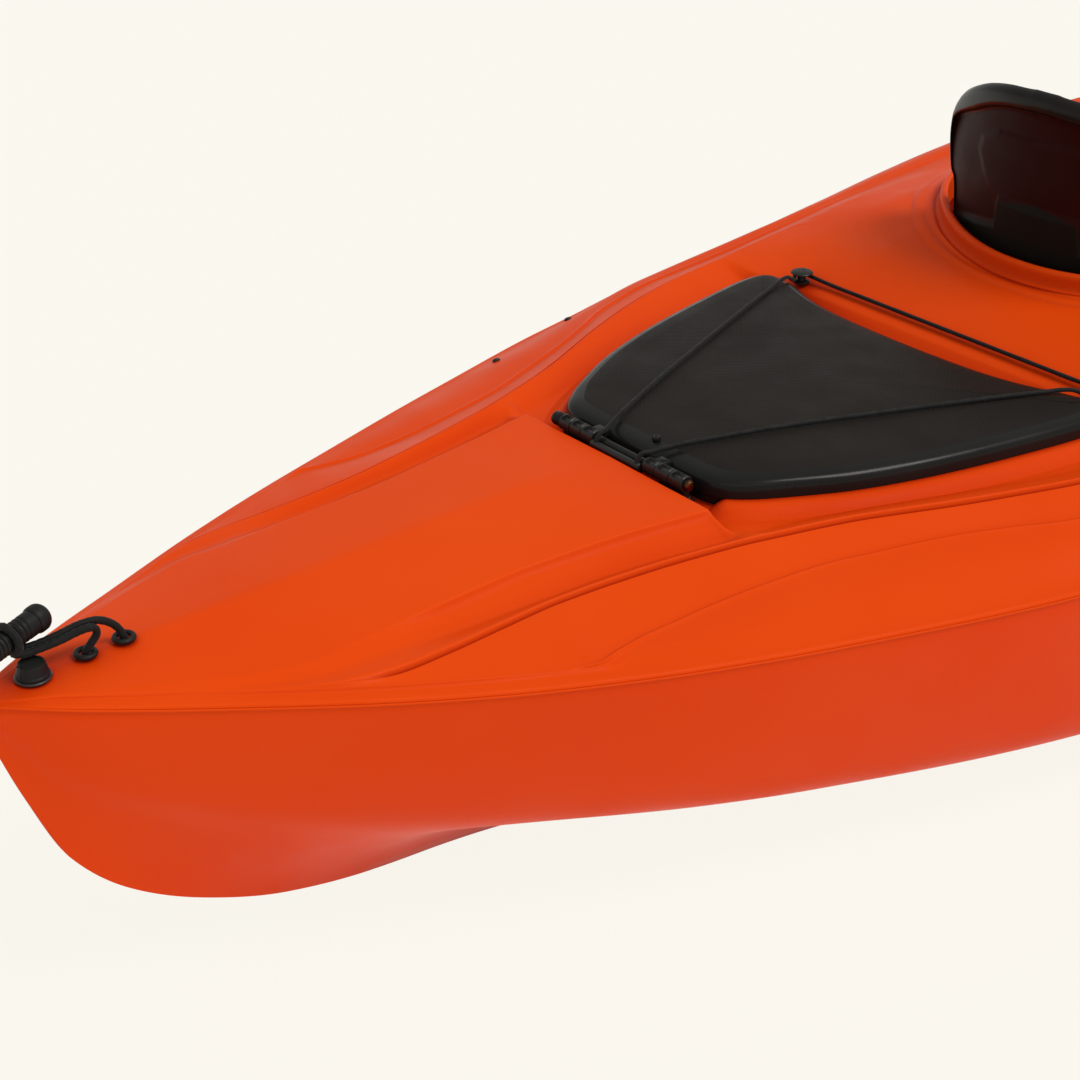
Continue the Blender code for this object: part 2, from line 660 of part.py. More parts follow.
def bungee_route():
    """Closed loop: under the hinge sleeve, over the cover, round both hooks and back."""
    a, z = HINGE
    port = .0270
    starboard = -.0245
    drop = ROD_RADIUS + BUNGEE_RADIUS + .0014
    hook_a, hook_y = HOOK_PLACE
    neck = hook_height() + .0083
    wrap = .0042 + BUNGEE_RADIUS + .0008
    lid = COVER_TOP + .0035 + BUNGEE_RADIUS + .0008

    def half(y, side):
        hook = [(hook_a + wrap * math.cos(t), side * (hook_y + wrap * math.sin(t)), neck)
                for t in (1.9, 1.2, .6, 0)]
        turn = [(a - .0005, y, z - drop), (a - drop, y, z - .001), (a - .002, y, z + drop)]
        reach = side * (hook_y - .0008) - y
        leg = []
        for spot, height in ((.598, lid - .0010), (.640, lid + .0008), (.760, lid + .0008),
                             (.880, lid + .0004), (.938, lid - .0012), (.957, lid - .0038),
                             (.968, neck + .0010)):
            leg.append((spot, y + reach * (spot - a) / (.970 - a), height))
        return turn + leg + hook

    port_half = half(port, 1)
    starboard_half = half(starboard, -1)
    front = []
    for share in (.2, .4, .6, .8):
        y = hook_y * (1 - 2 * share)
        rest = deck_height(hook_a + .008, y) + BUNGEE_RADIUS + .0012
        front.append((hook_a + .007, y, max(neck, rest)))
    under = [(a, port - .012, z - .0096), (a, (port + starboard) / 2, z - .0096),
             (a, starboard + .012, z - .0096)]
    return port_half + front + starboard_half[::-1] + under[::-1]


def make_bungee(finish):
    points = [(along(a), y, z) for a, y, z in bungee_route()]
    tube("bungee_loop", eased(points, 2, closed=True), BUNGEE_RADIUS, finish, PARTS, closed=True)


# Carry handles and drain plug

def handle_axes():
    direction = Vector((math.cos(GRIP_YAW) * math.cos(GRIP_PITCH), math.sin(GRIP_YAW) * math.cos(GRIP_PITCH),
                        -math.sin(GRIP_PITCH)))
    return direction, Vector((-direction.y, direction.x, 0)).normalized()


def end_point(end, point):
    """Place measured from an end of the boat as world coordinates: the bow mirrors the stern."""
    a, y, z = point
    if end == "stern":
        return (along(a), y, z)
    return (-along(a), -y, z + deck_height(LENGTH - .06, 0) - deck_height(.06, 0))


def cord_route(end):
    """Both legs of the handle's cord, from a knot under one grommet to the other."""
    direction, across = handle_axes()
    up = direction.cross(across)
    centre = Vector(GRIP_CENTRE)
    loop = .0078 + CORD_RADIUS + .0012
    round_grip = []
    for degrees in (-70, -20, 30, 90, 150, 200, 250):
        turn = math.radians(degrees)
        round_grip.append(tuple(centre + across * loop * math.cos(turn) + up * loop * math.sin(turn)))
    aft, fore = GROMMETS
    first = [(fore, 0, .288), (fore, 0, .300), (fore, 0, .311), (.1105, .0012, .3180), (.105, .0028, .3255),
             (.095, .0042, .3312), (.082, .0055, .3318), (.067, .0070, .3290), (.052, .0095, .3262),
             (.0385, .0112, .3262)]
    second = [(.0400, .0030, .3262), (.052, .0030, .3254), (.066, .0008, .3272), (.080, -.0012, .3302),
              (.0885, -.0020, .3290), (.0900, -.0016, .3235), (.0855, -.0006, .3170), (aft, 0, .311),
              (aft, 0, .300), (aft, 0, .288)]
    return [end_point(end, point) for point in first + round_grip + second]


def make_handle(end, cord_finish, black):
    for label, distance in zip(("outer", "inner"), GROMMETS):
        profile = [(.0075 + .0023 * math.cos(t), .0023 + .0023 * math.sin(t))
                   for t in [math.pi / 2 - math.pi * k / 3 for k in range(6)]]
        ring = turned(f"{end}_grommet_{label}", profile, black, PARTS, closed=True, steps=14)
        a = end_place(end, distance)
        top = max(deck_height(a + shift, 0) for shift in (-.009, 0, .009))
        ring.location = (along(a), 0, top + 2 * FIT_GAP)
    tube(f"{end}_handle_cord", eased(cord_route(end), 2), CORD_RADIUS, cord_finish, PARTS)
    direction, _ = handle_axes()
    centre = Vector(end_point(end, GRIP_CENTRE))
    if end == "bow":
        direction = Vector((-direction.x, -direction.y, direction.z))
    turn = direction.to_track_quat("Z", "Y").to_euler()
    half = GRIP_LENGTH / 2
    barrel = [(0, .0240), (.0090, .0240), (.0090, .0058), (.0078, .0046), (.0078, -.0046), (.0090, -.0058),
              (.0090, -.0240), (0, -.0240)]
    cap = [(0, half), (.0070, half - .0015), (.0100, half - .0060), (.0103, .0260), (.0098, .0240 + FIT_GAP),
           (0, .0240 + FIT_GAP)]
    other = [(radius, -height) for radius, height in reversed(cap)]
    for label, profile in (("barrel", barrel), ("cap_inner", cap), ("cap_outer", other)):
        piece = turned(f"{end}_handle_{label}", profile, black, PARTS)
        piece.location = centre
        piece.rotation_euler = turn


def make_plug(black, soft):
    x = along(PLUG_PLACE)
    top = max(deck_height(PLUG_PLACE + shift, y) for shift in (-.015, .015) for y in (0, .015)) + 2 * FIT_GAP
    seat = turned("drain_plug_seat", [(.0092, .0016), (.0145, .0016), (.0145, 0), (.0092, 0)], black, PARTS,
                  closed=True, steps=20)
    seat.location = (x, 0, top)
    base = .0016 + FIT_GAP
    plug = turned("drain_plug", [(0, .0128), (.0100, .0128), (.0113, .0112), (.0130, base + .002),
                                 (.0130, base), (.0070, base), (.0070, -.0120), (0, -.0120)], soft, PARTS)
    plug.location = (x, 0, top)
    lead = [(.0300, -.0060, .3243), (.0285, -.0095, .3205), (.0285, -.0115, .3160), (.0290, -.0120, .3115),
            (.0297, -.0118, .3072)]
    tube("plug_tether", eased([end_point("stern", point) for point in lead], 2), .0012, soft, PARTS)


# Seat

def make_seat(black, fabric):
    for name, side in (("seat_riser_port", 1), ("seat_riser_starboard", -1)):
        ys = sorted((side * .095, side * .130))
        box(name, (along(1.20), ys[0], .0110), (along(1.54), ys[1], .0500), black, PARTS, .003)
    front = []
    back = []
    for i in range(9):
        a = 1.185 + .385 * i / 8
        lift = .014 * ((i / 8 - .45) * 2) ** 2
        row = []
        under = []
        for j in range(9):
            y = (j / 8 - .5) * 2 * (.185 + .010 * i / 8)
            dish = .0505 + lift + .034 * (abs(y) / .195) ** 3
            row.append((along(a), y, dish + .005))
            under.append((along(a), y, dish))
        front.append(row)
        back.append(under)
    plate("seat_pan", front, back, black, PARTS)
    loops = []
    for z, inset in ((.0760, .012), (.0800, .003), (.0880, .000), (.0950, .004), (.0985, .020)):
        loop = []
        for k in range(24):
            turn = 2 * math.pi * k / 24
            x = 1.375 + (.160 - inset) * math.copysign(abs(math.cos(turn)) ** .5, math.cos(turn))
            y = (.130 - inset) * math.copysign(abs(math.sin(turn)) ** .5, math.sin(turn))
            loop.append((along(x), y, z))
        loops.append(loop)
    rings("seat_pad", loops, fabric, PARTS)


def backrest_line(breadth, height):
    """Distance from the stern of the backrest's rear face."""
    return 1.106 + 2.4 * breadth * breadth - .10 * (height - .36)


def make_backrest(black, fabric, steel):
    outline = [(.150, .118), (.250, .130), (.345, .136), (.392, .140), (.402, .150), (.430, .156),
               (.452, .152), (.472, .141), (.487, .124), (.500, .100), (.511, .070), (.520, .030)]
    shares = (-1, -.86, -.80, -.4, 0, .4, .80, .86, 1)
    rear = []
    front = []
    for i, (z, half) in enumerate(outline):
        rear_row = []
        front_row = []
        for share in shares:
            y = share * half
            line = backrest_line(y, z)
            hollow = .012 if abs(share) <= .80 and 1 <= i <= 7 else 0
            rear_row.append((along(line + hollow), y, z))
            front_row.append((along(line + .020), y, z))
        rear.append(rear_row)
        front.append(front_row)
    plate("backrest_shell", rear, front, black, PARTS)
    pad_rear = []
    pad_front = []
    for z in (.20, .225, .27, .34, .40, .435, .455):
        swell = math.sqrt(max(0, 1 - ((z - .3275) / .1275) ** 4))
        rows = ([], [])
        for share in (-1, -.9, -.5, 0, .5, .9, 1):
            y = share * (.085 + .030 * swell)
            line = backrest_line(y, z) + .0235
            rows[0].append((along(line + .0008), y, z))
            rows[1].append((along(line + .006 + .012 * swell * (1 - share ** 4)), y, z))
        pad_rear.append(rows[0])
        pad_front.append(rows[1])
    plate("backrest_pad", pad_rear, pad_front, fabric, PARTS)
    x = along(BACKREST_PIVOT[0])
    rod("backrest_hinge_pin", (x, -.125, BACKREST_PIVOT[1]), (x, .125, BACKREST_PIVOT[1]), .004, steel, PARTS)
    for label, side in (("port", 1), ("starboard", -1)):
        lug = sorted((side * .080, side * .096))
        knuckle(f"backrest_lug_{label}", lug[0], lug[1], BACKREST_PIVOT, .009, KNUCKLE_BORE,
                ((1.1475, .110), (1.1555, .150 - FIT_GAP)), black)
        mount = sorted((side * .0985, side * .1165))
        knuckle(f"backrest_bracket_{label}", mount[0], mount[1], BACKREST_PIVOT, .009, KNUCKLE_BORE,
                ((1.138, .0110), (1.162, .108)), black)


# Foot braces

def make_foot_braces(black, steel):
    for label, side in (("port", 1), ("starboard", -1)):
        ends = []
        for a in (RAIL_FROM, RAIL_TO):
            ends.append(Vector((along(a), side * (side_breadth(a, RAIL_HEIGHT - .015) - .011), RAIL_HEIGHT)))
        run = (ends[1] - ends[0]).normalized()
        middle = (ends[0] + ends[1]) / 2
        turn = math.atan2(run.y, run.x)
        length = (ends[1] - ends[0]).length
        inward = Vector((run.y, -run.x, 0)) * side
        rail = box(f"foot_rail_{label}", (-length / 2, -.005, -.014), (length / 2, .005, .014), black, PARTS, .0015)
        rail.location = middle
        rail.rotation_euler = (0, 0, turn)
        for k, share in (("aft", -.44), ("fore", .44)):
            head = turned(f"foot_rail_screw_{label}_{k}", [(0, .0030), (.0035, .0026), (.0050, .0008),
                                                           (.0050, 0), (0, 0)], steel, PARTS, steps=10)
            head.location = middle + run * length * share + inward * (.005 + FIT_GAP)
            head.rotation_euler = inward.to_track_quat("Z", "Y").to_euler()
        pedal = box(f"foot_pedal_{label}", (-.030, -.004, -.018), (.030, .004, .018), black, PARTS, .001)
        pedal.location = middle + inward * (.005 + .004 + 2 * FIT_GAP)
        pedal.rotation_euler = (0, 0, turn)
        ys = sorted((-.070 * side, -.002 * side))
        tread = box(f"pedal_tread_{label}", (-.006, ys[0], -.055), (.006, ys[1], .060), None, CUTTERS)
        offset = Matrix.Translation(pedal.location) @ Matrix.Rotation(turn, 4, "Z")
        tread.matrix_world = offset @ Matrix.Translation(tread.location)
        boolean(pedal, tread, "UNION")


def make_foam(finish):
    box("stern_foam_pillar", (along(.34), -.026, .060), (along(.54), .026, .284), finish, PARTS, .004)
    box("bow_foam_pillar", (along(2.40), -.030, .045), (along(2.62), .030, .318), finish, PARTS, .004)


clear_scene()
PARTS = collection("sit_in_kayak")
CUTTERS = collection("cutters")

orange_shell = material("orange_polyethylene", ORANGE, 0.42)
black_plastic = material("black_moulded_plastic", BLACK, 0.38)
black_rubber = material("black_rubber", SOFT_BLACK, 0.7)
black_cord = material("black_cord", SOFT_BLACK, 0.8)
black_fabric = material("black_seat_fabric", SOFT_BLACK, 0.9)
brass_end = material("brass_pin_end", BRASS, 0.35, 1.0)
steel_pin = material("steel_pin", STEEL, 0.3, 1.0)
grey_foam = material("grey_foam", FOAM, 0.9)

make_hull(orange_shell)
make_deck(orange_shell)
make_seam_strips(orange_shell)
make_rivets(black_plastic)
make_cover(black_plastic)
make_gasket(black_rubber)
make_hinge(black_plastic, brass_end)
make_hooks(black_plastic)
make_bungee(black_cord)
for boat_end in ("stern", "bow"):
    make_handle(boat_end, black_cord, black_rubber)
make_plug(black_plastic, black_rubber)
make_seat(black_plastic, black_fabric)
make_backrest(black_plastic, black_fabric, steel_pin)
make_foot_braces(black_plastic, steel_pin)
make_foam(grey_foam)
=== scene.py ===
"""Looks of the sit-in kayak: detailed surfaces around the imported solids, which carry the motion.

Metres, +X to the bow, +Y to port, +Z up. Lengths along the boat are distances from the stern.
"""

import math

import bmesh
import bpy
import numpy as np
from mathutils import Matrix, Vector


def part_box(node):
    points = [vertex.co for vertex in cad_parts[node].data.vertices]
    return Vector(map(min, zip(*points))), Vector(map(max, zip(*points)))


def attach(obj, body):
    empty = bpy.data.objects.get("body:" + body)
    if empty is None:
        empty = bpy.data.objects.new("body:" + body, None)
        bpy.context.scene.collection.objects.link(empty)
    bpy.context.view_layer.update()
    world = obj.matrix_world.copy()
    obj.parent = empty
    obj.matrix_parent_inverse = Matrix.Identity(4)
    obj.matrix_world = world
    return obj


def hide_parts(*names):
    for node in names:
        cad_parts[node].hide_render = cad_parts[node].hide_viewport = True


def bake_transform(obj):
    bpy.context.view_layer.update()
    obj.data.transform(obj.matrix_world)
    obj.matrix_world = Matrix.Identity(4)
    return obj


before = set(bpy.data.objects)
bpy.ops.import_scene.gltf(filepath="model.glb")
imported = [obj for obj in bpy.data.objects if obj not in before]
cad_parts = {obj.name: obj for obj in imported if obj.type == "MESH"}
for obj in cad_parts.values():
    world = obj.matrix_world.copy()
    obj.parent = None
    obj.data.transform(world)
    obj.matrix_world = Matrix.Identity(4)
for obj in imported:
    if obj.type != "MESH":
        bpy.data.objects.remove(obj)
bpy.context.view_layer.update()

LENGTH = 3.050
HULL_WALL = 0.0045
DECK_WALL = 0.0040
FIT_GAP = 0.0003
SEAM_GAP = 0.0004

HALF_BEAM = [(0, .006), (.05, .042), (.15, .0994), (.25, .1532), (.35, .1992), (.50, .2562), (.60, .2892),
             (.75, .334), (.825, .3502), (.90, .3618), (1.00, .3686), (1.10, .3727), (1.20, .375),
             (1.525, .375), (1.90, .357), (2.25, .305), (2.60, .218), (2.85, .126), (2.98, .053),
             (LENGTH, .006)]
SHEER = [(0, .3048), (.15, .2874), (.25, .2777), (.35, .270), (.45, .2643), (.55, .261), (.70, .2575),
         (.85, .256), (1.00, .257), (1.20, .262), (1.40, .268), (1.60, .273), (2.00, .283), (2.40, .296),
         (2.75, .311), (LENGTH, .330)]
KEEL = [(0, .286), (.022, .217), (.049, .151), (.092, .102), (.151, .064), (.221, .035), (.298, .018),
        (.365, .011), (.45, .006), (.60, 0), (2.35, 0), (2.50, .004), (2.65, .020), (2.80, .058),
        (2.90, .108), (2.96, .155), (3.00, .205), (3.03, .262), (LENGTH, .320)]
CHINE_SHARE = [(0, .45), (.15, .55), (.35, .66), (.50, .745), (.75, .82), (1.00, .88), (1.525, .87),
               (2.00, .85), (2.40, .78), (2.70, .66), (LENGTH, .45)]
CHINE_RISE = [(0, .50), (.15, .45), (.35, .38), (.50, .33), (1.00, .228), (1.525, .215), (2.10, .24),
              (2.50, .32), (2.80, .42), (LENGTH, .50)]
FLAT_BOTTOM = [(0, .10), (.15, .10), (.35, .08), (.60, .25), (.90, .30), (2.10, .30), (2.50, .20),
               (2.80, .10), (LENGTH, .10)]
BOTTOM_POWER = [(0, 1.0), (.20, .8), (.40, .6), (.60, .9), (.90, 1.5), (2.10, 1.5), (2.50, 1.1), (2.80, .9),
                (LENGTH, 1.0)]
SIDE_POWER = 0.7

# Deck creases, each a share of the half beam and a height: panel edge, valley, ridge, side crease
EDGE_SHARE = [(0, .60), (.10, .70), (.15, .74), (.20, .715), (.25, .590), (.30, .511), (.35, .454),
              (.40, .417), (.45, .406), (.50, .402), (.55, .409), (.58, .414), (.78, .43), (1.10, .40),
              (LENGTH, .35)]
EDGE_RISE = [(0, .3063), (.05, .3055), (.10, .303), (.20, .2985), (.25, .300), (.30, .3025), (.35, .3040),
             (.40, .3057), (.50, .3077), (.567, .3077)]
VALLEY_SHARE = [(0, .72), (.10, .80), (.15, .83), (.20, .80), (.25, .70), (.30, .615), (.35, .565),
                (.40, .536), (.45, .509), (.50, .501), (.55, .508), (.60, .505), (.68, .53), (.78, .60),
                (.88, .66), (1.00, .68), (1.10, .62), (LENGTH, .60)]
VALLEY_RISE = [(0, .3062), (.05, .305), (.10, .3015), (.20, .2935), (.30, .2925), (.40, .2940), (.50, .295),
               (.567, .295)]
RIDGE_SHARE = [(0, .84), (.10, .89), (.15, .92), (.20, .885), (.25, .825), (.30, .725), (.35, .645),
               (.40, .593), (.45, .573), (.50, .566), (.55, .570), (.60, .588), (.65, .611), (.69, .640),
               (.73, .672), (.78, .706), (.84, .741), (.90, .765), (1.00, .79), (1.10, .76), (LENGTH, .74)]
RIDGE_RISE = [(0, .3060), (.05, .3045), (.10, .3005), (.20, .2935), (.30, .2930), (.40, .2965), (.45, .2986),
              (.50, .3001), (.58, .3015), (.68, .303), (.78, .304), (.97, .303), (1.064, .314), (1.20, .328),
              (1.60, .3325), (2.00, .333), (2.30, .329), (2.80, .3295), (LENGTH, .334)]
CREASE_SHARE = [(0, .90), (.10, .93), (.20, .955), (.30, .965), (.356, .96), (.375, .945), (.406, .872),
                (.438, .812), (.468, .779), (.50, .751), (.55, .727), (.60, .717), (.65, .732), (.71, .755),
                (.75, .783), (.81, .835), (.90, .87), (1.10, .88), (LENGTH, .87)]
CREASE_RISE = [(0, .3058), (.05, .3035), (.10, .2992), (.20, .291), (.30, .2830), (.36, .2785), (.40, .2775),
               (.45, .2770), (.50, .279), (.55, .2815), (.62, .284), (.75, .287), (.90, .287), (1.00, .289),
               (1.10, .296), (1.20, .3055), (1.30, .3145), (1.40, .3215), (1.60, .3275), (2.00, .322),
               (2.30, .316), (2.80, .319), (LENGTH, .333)]
CROWN = [(0, .3065), (.05, .3075), (.15, .3110), (.30, .3135), (.46, .3160), (.567, .3095)]
SIDE_BULGE = [(0, 0), (.36, 0), (.50, .003), (.80, .006), (1.00, .007), (1.20, .005), (1.60, .003),
              (2.30, .003), (LENGTH, 0)]
ROLL_RISE = [(0, .0008), (.05, .004), (.12, .006), (.78, .006), (.90, .013), (1.00, .019), (1.10, .0249),
             (1.20, .0322), (1.30, .0417), (1.40, .0487), (1.60, .0560), (2.00, .0390), (2.40, .0185),
             (2.75, .007), (2.95, .005), (LENGTH, .003)]
ROLL_WIDTH = 0.010
ROLL_SHOULDER = 0.66
ROLL_DROP = 0.005
CREASE_SPACING = 0.975
RECESS_START = 0.567
RECESS_FLOOR_END = 0.964
RECESS_END = 0.972
RECESS_FLOOR = 0.2905
FORE_CROWN = [(RECESS_END, .300), (1.064, .333), (1.20, .352), (1.60, .356), (2.02, .368), (2.30, .369),
              (2.80, .350), (LENGTH, .336)]
FORE_EDGE = [(RECESS_END, .300), (1.064, .331), (1.20, .350), (1.60, .354), (2.02, .364), (2.30, .363),
             (2.80, .346), (LENGTH, .3355)]
FORE_VALLEY = [(RECESS_END, .299), (1.064, .322), (1.20, .341), (1.60, .344), (2.02, .349), (2.30, .346),
               (2.80, .337), (LENGTH, .335)]

# Cockpit: an oval with a short aft end and a long fore end
COCKPIT_WIDEST = 1.391
COCKPIT_HALF_WIDTH = 0.235
COCKPIT_AFT = 0.300
COCKPIT_FORE = 0.640

# Hatch cover, from the stern side to the front side, one half of it
COVER_OUTLINE = [(.592, 0), (.592, .050), (.594, .082), (.601, .100), (.616, .114), (.640, .129),
                 (.690, .155), (.745, .175), (.800, .190), (.860, .203), (.910, .212), (.938, .213),
                 (.954, .206), (.960, .191), (.955, .166), (.941, .126), (.933, .080), (.930, 0)]
HATCH_HOLE_SCALE = 0.88
HATCH_MIDDLE = 0.775
HINGE = (0.579, 0.311)
ROD_RADIUS = 0.0040
BUNGEE_RADIUS = 0.0024
HOOK_PLACE = (0.981, 0.183)

# Carry handles, drain plug and grommets, as distances from their end of the boat
GROMMETS = (0.082, 0.112)
CORD_RADIUS = 0.0026
PLUG_PLACE = 0.042
GRIP_CENTRE = (0.030, 0.006, 0.3395)
GRIP_YAW = math.radians(20)
GRIP_PITCH = math.radians(-4)
GRIP_LENGTH = 0.076

# Ledge across the back of the backrest: its slope outwards, and the half breadth of its middle part
LEDGE_SLOPE = 0.195
LEDGE_STEP = 0.050

SIDES = ((1, "port"), (-1, "starboard"))


# Numbers and curves

def through(knots, at):
    """Smooth curve through the knots that never overshoots them."""
    spots = [spot for spot, _ in knots]
    values = [value for _, value in knots]
    if at <= spots[0]:
        return values[0]
    if at >= spots[-1]:
        return values[-1]
    rises = [(values[i + 1] - values[i]) / (spots[i + 1] - spots[i]) for i in range(len(spots) - 1)]
    slopes = [rises[0]]
    for before, after in zip(rises[:-1], rises[1:]):
        slopes.append(0.0 if before * after <= 0 else 2 * before * after / (before + after))
    slopes.append(rises[-1])
    i = next(k for k in range(len(rises)) if at <= spots[k + 1])
    span = spots[i + 1] - spots[i]
    t = (at - spots[i]) / span
    start = values[i] * (1 + 2 * t) * (1 - t) ** 2 + slopes[i] * span * t * (1 - t) ** 2
    end = values[i + 1] * t * t * (3 - 2 * t) + slopes[i + 1] * span * t * t * (t - 1)
    return start + end


def along(aft):
    """X of a distance from the stern."""
    return aft - LENGTH / 2


def ease(value, low, high):
    """0 before low, 1 after high, and a smooth step between them."""
    t = min(max((value - low) / (high - low), 0.0), 1.0)
    return t * t * (3 - 2 * t)


def window(value, low, full, falling, high):
    """0 before low and after high, 1 from full to falling, and smooth steps between them."""
    return ease(value, low, full) * (1 - ease(value, falling, high))


def straight(knots, at):
    """Value on the straight lines through the knots."""
    return float(np.interp(at, *zip(*knots)))


def turns(count):
    """Angles of a full turn, evenly spaced."""
    return [2 * math.pi * k / count for k in range(count)]


def eased(points, between, closed=False):
    """Points read from a smooth curve that passes through the given ones."""
    points = [Vector(point) for point in points]
    count = len(points)
    made = []
    for i in range(count if closed else count - 1):
        spots = [i + k if closed else min(max(i + k, 0), count - 1) for k in (-1, 0, 1, 2)]
        first, start, end, last = [points[spot % count] for spot in spots]
        for step in range(between):
            t = step / between
            made.append(0.5 * (2 * start + (end - first) * t
                               + (2 * first - 5 * start + 4 * end - last) * t * t
                               + (3 * start - first - 3 * end + last) * t ** 3))
    return made if closed else made + points[-1:]


def softened(points):
    """A closed line of points, each drawn towards its two neighbours."""
    return .5 * points + .25 * (np.roll(points, 1, axis=0) + np.roll(points, -1, axis=0))


def rounded(points, radii):
    """Polyline with its corners turned into short curves, always with the same number of points."""
    spots = [np.array(point, float) for point in points]
    made = [spots[0]]
    leave = spots[0]
    for before, spot, after, radius in zip(spots, spots[1:], spots[2:], radii):
        back = before - spot
        on = after - spot
        back_length = max(float(np.linalg.norm(back)), 1e-9)
        on_length = max(float(np.linalg.norm(on)), 1e-9)
        start = spot + back * (min(radius, .48 * back_length) / back_length)
        end = spot + on * (min(radius, .48 * on_length) / on_length)
        made += [leave + (start - leave) * i / (STRAIGHT_STEPS + 1) for i in range(1, STRAIGHT_STEPS + 1)]
        for i in range(CORNER_STEPS + 1):
            t = i / CORNER_STEPS
            made.append((1 - t) ** 2 * start + 2 * t * (1 - t) * spot + t * t * end)
        leave = end
    made += [leave + (spots[-1] - leave) * i / (STRAIGHT_STEPS + 1) for i in range(1, STRAIGHT_STEPS + 2)]
    return np.array(made)


# Meshes

MERGE_REACH = 1e-6
BLOCK_ANGLE = 50
STRAND_DEPTH = 0.16


def added(made):
    """The object, linked into the scene."""
    bpy.context.scene.collection.objects.link(made)
    return made


def settled(mesh, shape, finish, body, stands_for, angle):
    """Object, smooth up to an angle, that rides on a body, if one is given, in the place of CAD nodes.

    A finish is a material and a slot name; only the material is put on the piece.
    """
    shape.to_mesh(mesh)
    shape.free()
    mesh.shade_smooth()
    mesh.set_sharp_from_angle(angle=math.radians(angle))
    mesh.materials.append(finish[0])
    made = added(bpy.data.objects.new(mesh.name, mesh))
    if body:
        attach(made, body)
    if stands_for:
        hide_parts(*stands_for)
    return made


def piece(name, vertices, faces, finish, body, stands_for=(), angle=40):
    """Object of points and faces; points that coincide become one."""
    mesh = bpy.data.meshes.new(name)
    mesh.from_pydata([tuple(float(c) for c in v) for v in vertices], [], faces)
    mesh.validate()
    shape = bmesh.new()
    shape.from_mesh(mesh)
    bmesh.ops.remove_doubles(shape, verts=shape.verts[:], dist=MERGE_REACH)
    bmesh.ops.recalc_face_normals(shape, faces=shape.faces[:])
    return settled(mesh, shape, finish, body, stands_for, angle)


def blocky(name, low, high, radius, finish, body, stands_for=(), matrix=None, segments=3):
    """Box with rounded edges."""
    mesh = bpy.data.meshes.new(name)
    shape = bmesh.new()
    bmesh.ops.create_cube(shape, size=1)
    size = Vector(high) - Vector(low)
    middle = (Vector(low) + Vector(high)) / 2
    for vert in shape.verts:
        vert.co = vert.co * size + middle
    bmesh.ops.bevel(shape, geom=shape.edges[:], offset=radius, segments=segments, profile=.5,
                    affect="EDGES", clamp_overlap=True)
    if matrix is not None:
        bmesh.ops.transform(shape, matrix=matrix, verts=shape.verts[:])
    return settled(mesh, shape, finish, body, stands_for, BLOCK_ANGLE)


def band(size, first, second):
    """Faces between two loops of points, from the numbers of their first points."""
    return [(first + j, first + (j + 1) % size, second + (j + 1) % size, second + j) for j in range(size)]


def fan(vertices, size, first, middle):
    """Triangles from a loop of points to a point in its middle, which joins the list of points."""
    vertices.append(middle)
    return [(first + j, first + (j + 1) % size, len(vertices) - 1) for j in range(size)]


def lofted(name, loops, finish, body, stands_for=(), closed=False, angle=40):
    """Surface through closed loops of points, capped at its two ends or joined into a ring."""
    size = len(loops[0])
    starts = [row * size for row in range(len(loops))]
    vertices = [point for loop in loops for point in loop]
    pairs = list(zip(starts[:-1], starts[1:])) + ([(starts[-1], 0)] if closed else [])
    faces = [face for first, second in pairs for face in band(size, first, second)]
    if not closed:
        for row in (0, -1):
            middle = tuple(sum(float(point[c]) for point in loops[row]) / size for c in range(3))
            faces += fan(vertices, size, starts[row], middle)
    return piece(name, vertices, faces, finish, body, stands_for, angle)


def frames_along(points, closed):
    """Directions across a line of points that turn as little as they can."""
    count = len(points)
    across = []
    side = None
    for i, point in enumerate(points):
        before = points[i - 1] if closed or i else point
        after = points[(i + 1) % count] if closed or i < count - 1 else point
        run = (after - before).normalized()
        if side is None:
            side = run.orthogonal().normalized()
        side = (side - run * side.dot(run)).normalized()
        across.append((side, run.cross(side)))
    return across


def tube(name, route, radius, finish, body, stands_for=(), closed=False, sides=14, strands=0, pitch=.006):
    """Round cord along a route, with twisted strands raised on it."""
    points = [Vector(point) for point in route]
    loops = []
    travel = 0.0
    for i, (side, other) in enumerate(frames_along(points, closed)):
        if i:
            travel += (points[i] - points[i - 1]).length
        twist = 2 * math.pi * travel / pitch
        loop = []
        for turn in turns(sides):
            reach = radius
            if strands:
                half = strands * turn / 2
                reach *= 1 - STRAND_DEPTH * abs(math.sin(half + twist) * math.sin(half - twist))
            loop.append(points[i] + (side * math.cos(turn) + other * math.sin(turn)) * reach)
        loops.append(loop)
    return lofted(name, loops, finish, body, stands_for, closed=closed, angle=60)


def revolved(profile, steps=48):
    """Loops of a shape turned about Z; the profile gives radii and heights."""
    return [[(radius * math.cos(turn), radius * math.sin(turn), height) for turn in turns(steps)]
            for radius, height in profile]


def turned(name, profile, matrix, finish, body, stands_for=(), steps=48, closed=False, angle=45):
    """Shape turned from a profile of radii and heights and put in its place."""
    return lofted(name, moved(revolved(profile, steps), matrix), finish, body, stands_for, closed, angle)


def moved(loops, matrix):
    return [[matrix @ Vector(point) for point in loop] for loop in loops]


def upright(aft, breadth, height):
    """Place of a shape that stands on the boat."""
    return Matrix.Translation((along(aft), breadth, height))


def sideways(aft, breadth, height):
    """Place of a shape made about Z that lies along Y."""
    return upright(aft, breadth, height) @ Matrix.Rotation(math.radians(-90), 4, "X")


# Materials

# Part of the noise's range over which a colour or a roughness drifts, and a wave's scale for lines 1 m apart
DRIFT = (0.3, 0.7)
WAVE_PITCH = 0.314

# Openness at which the painted shade in hollows begins and is full, and how much of it shows then
PAINTED_SHADE_BEGINS = 0.96
PAINTED_SHADE_FULL = 0.52
PAINTED_SHADE_SHARE = 0.85


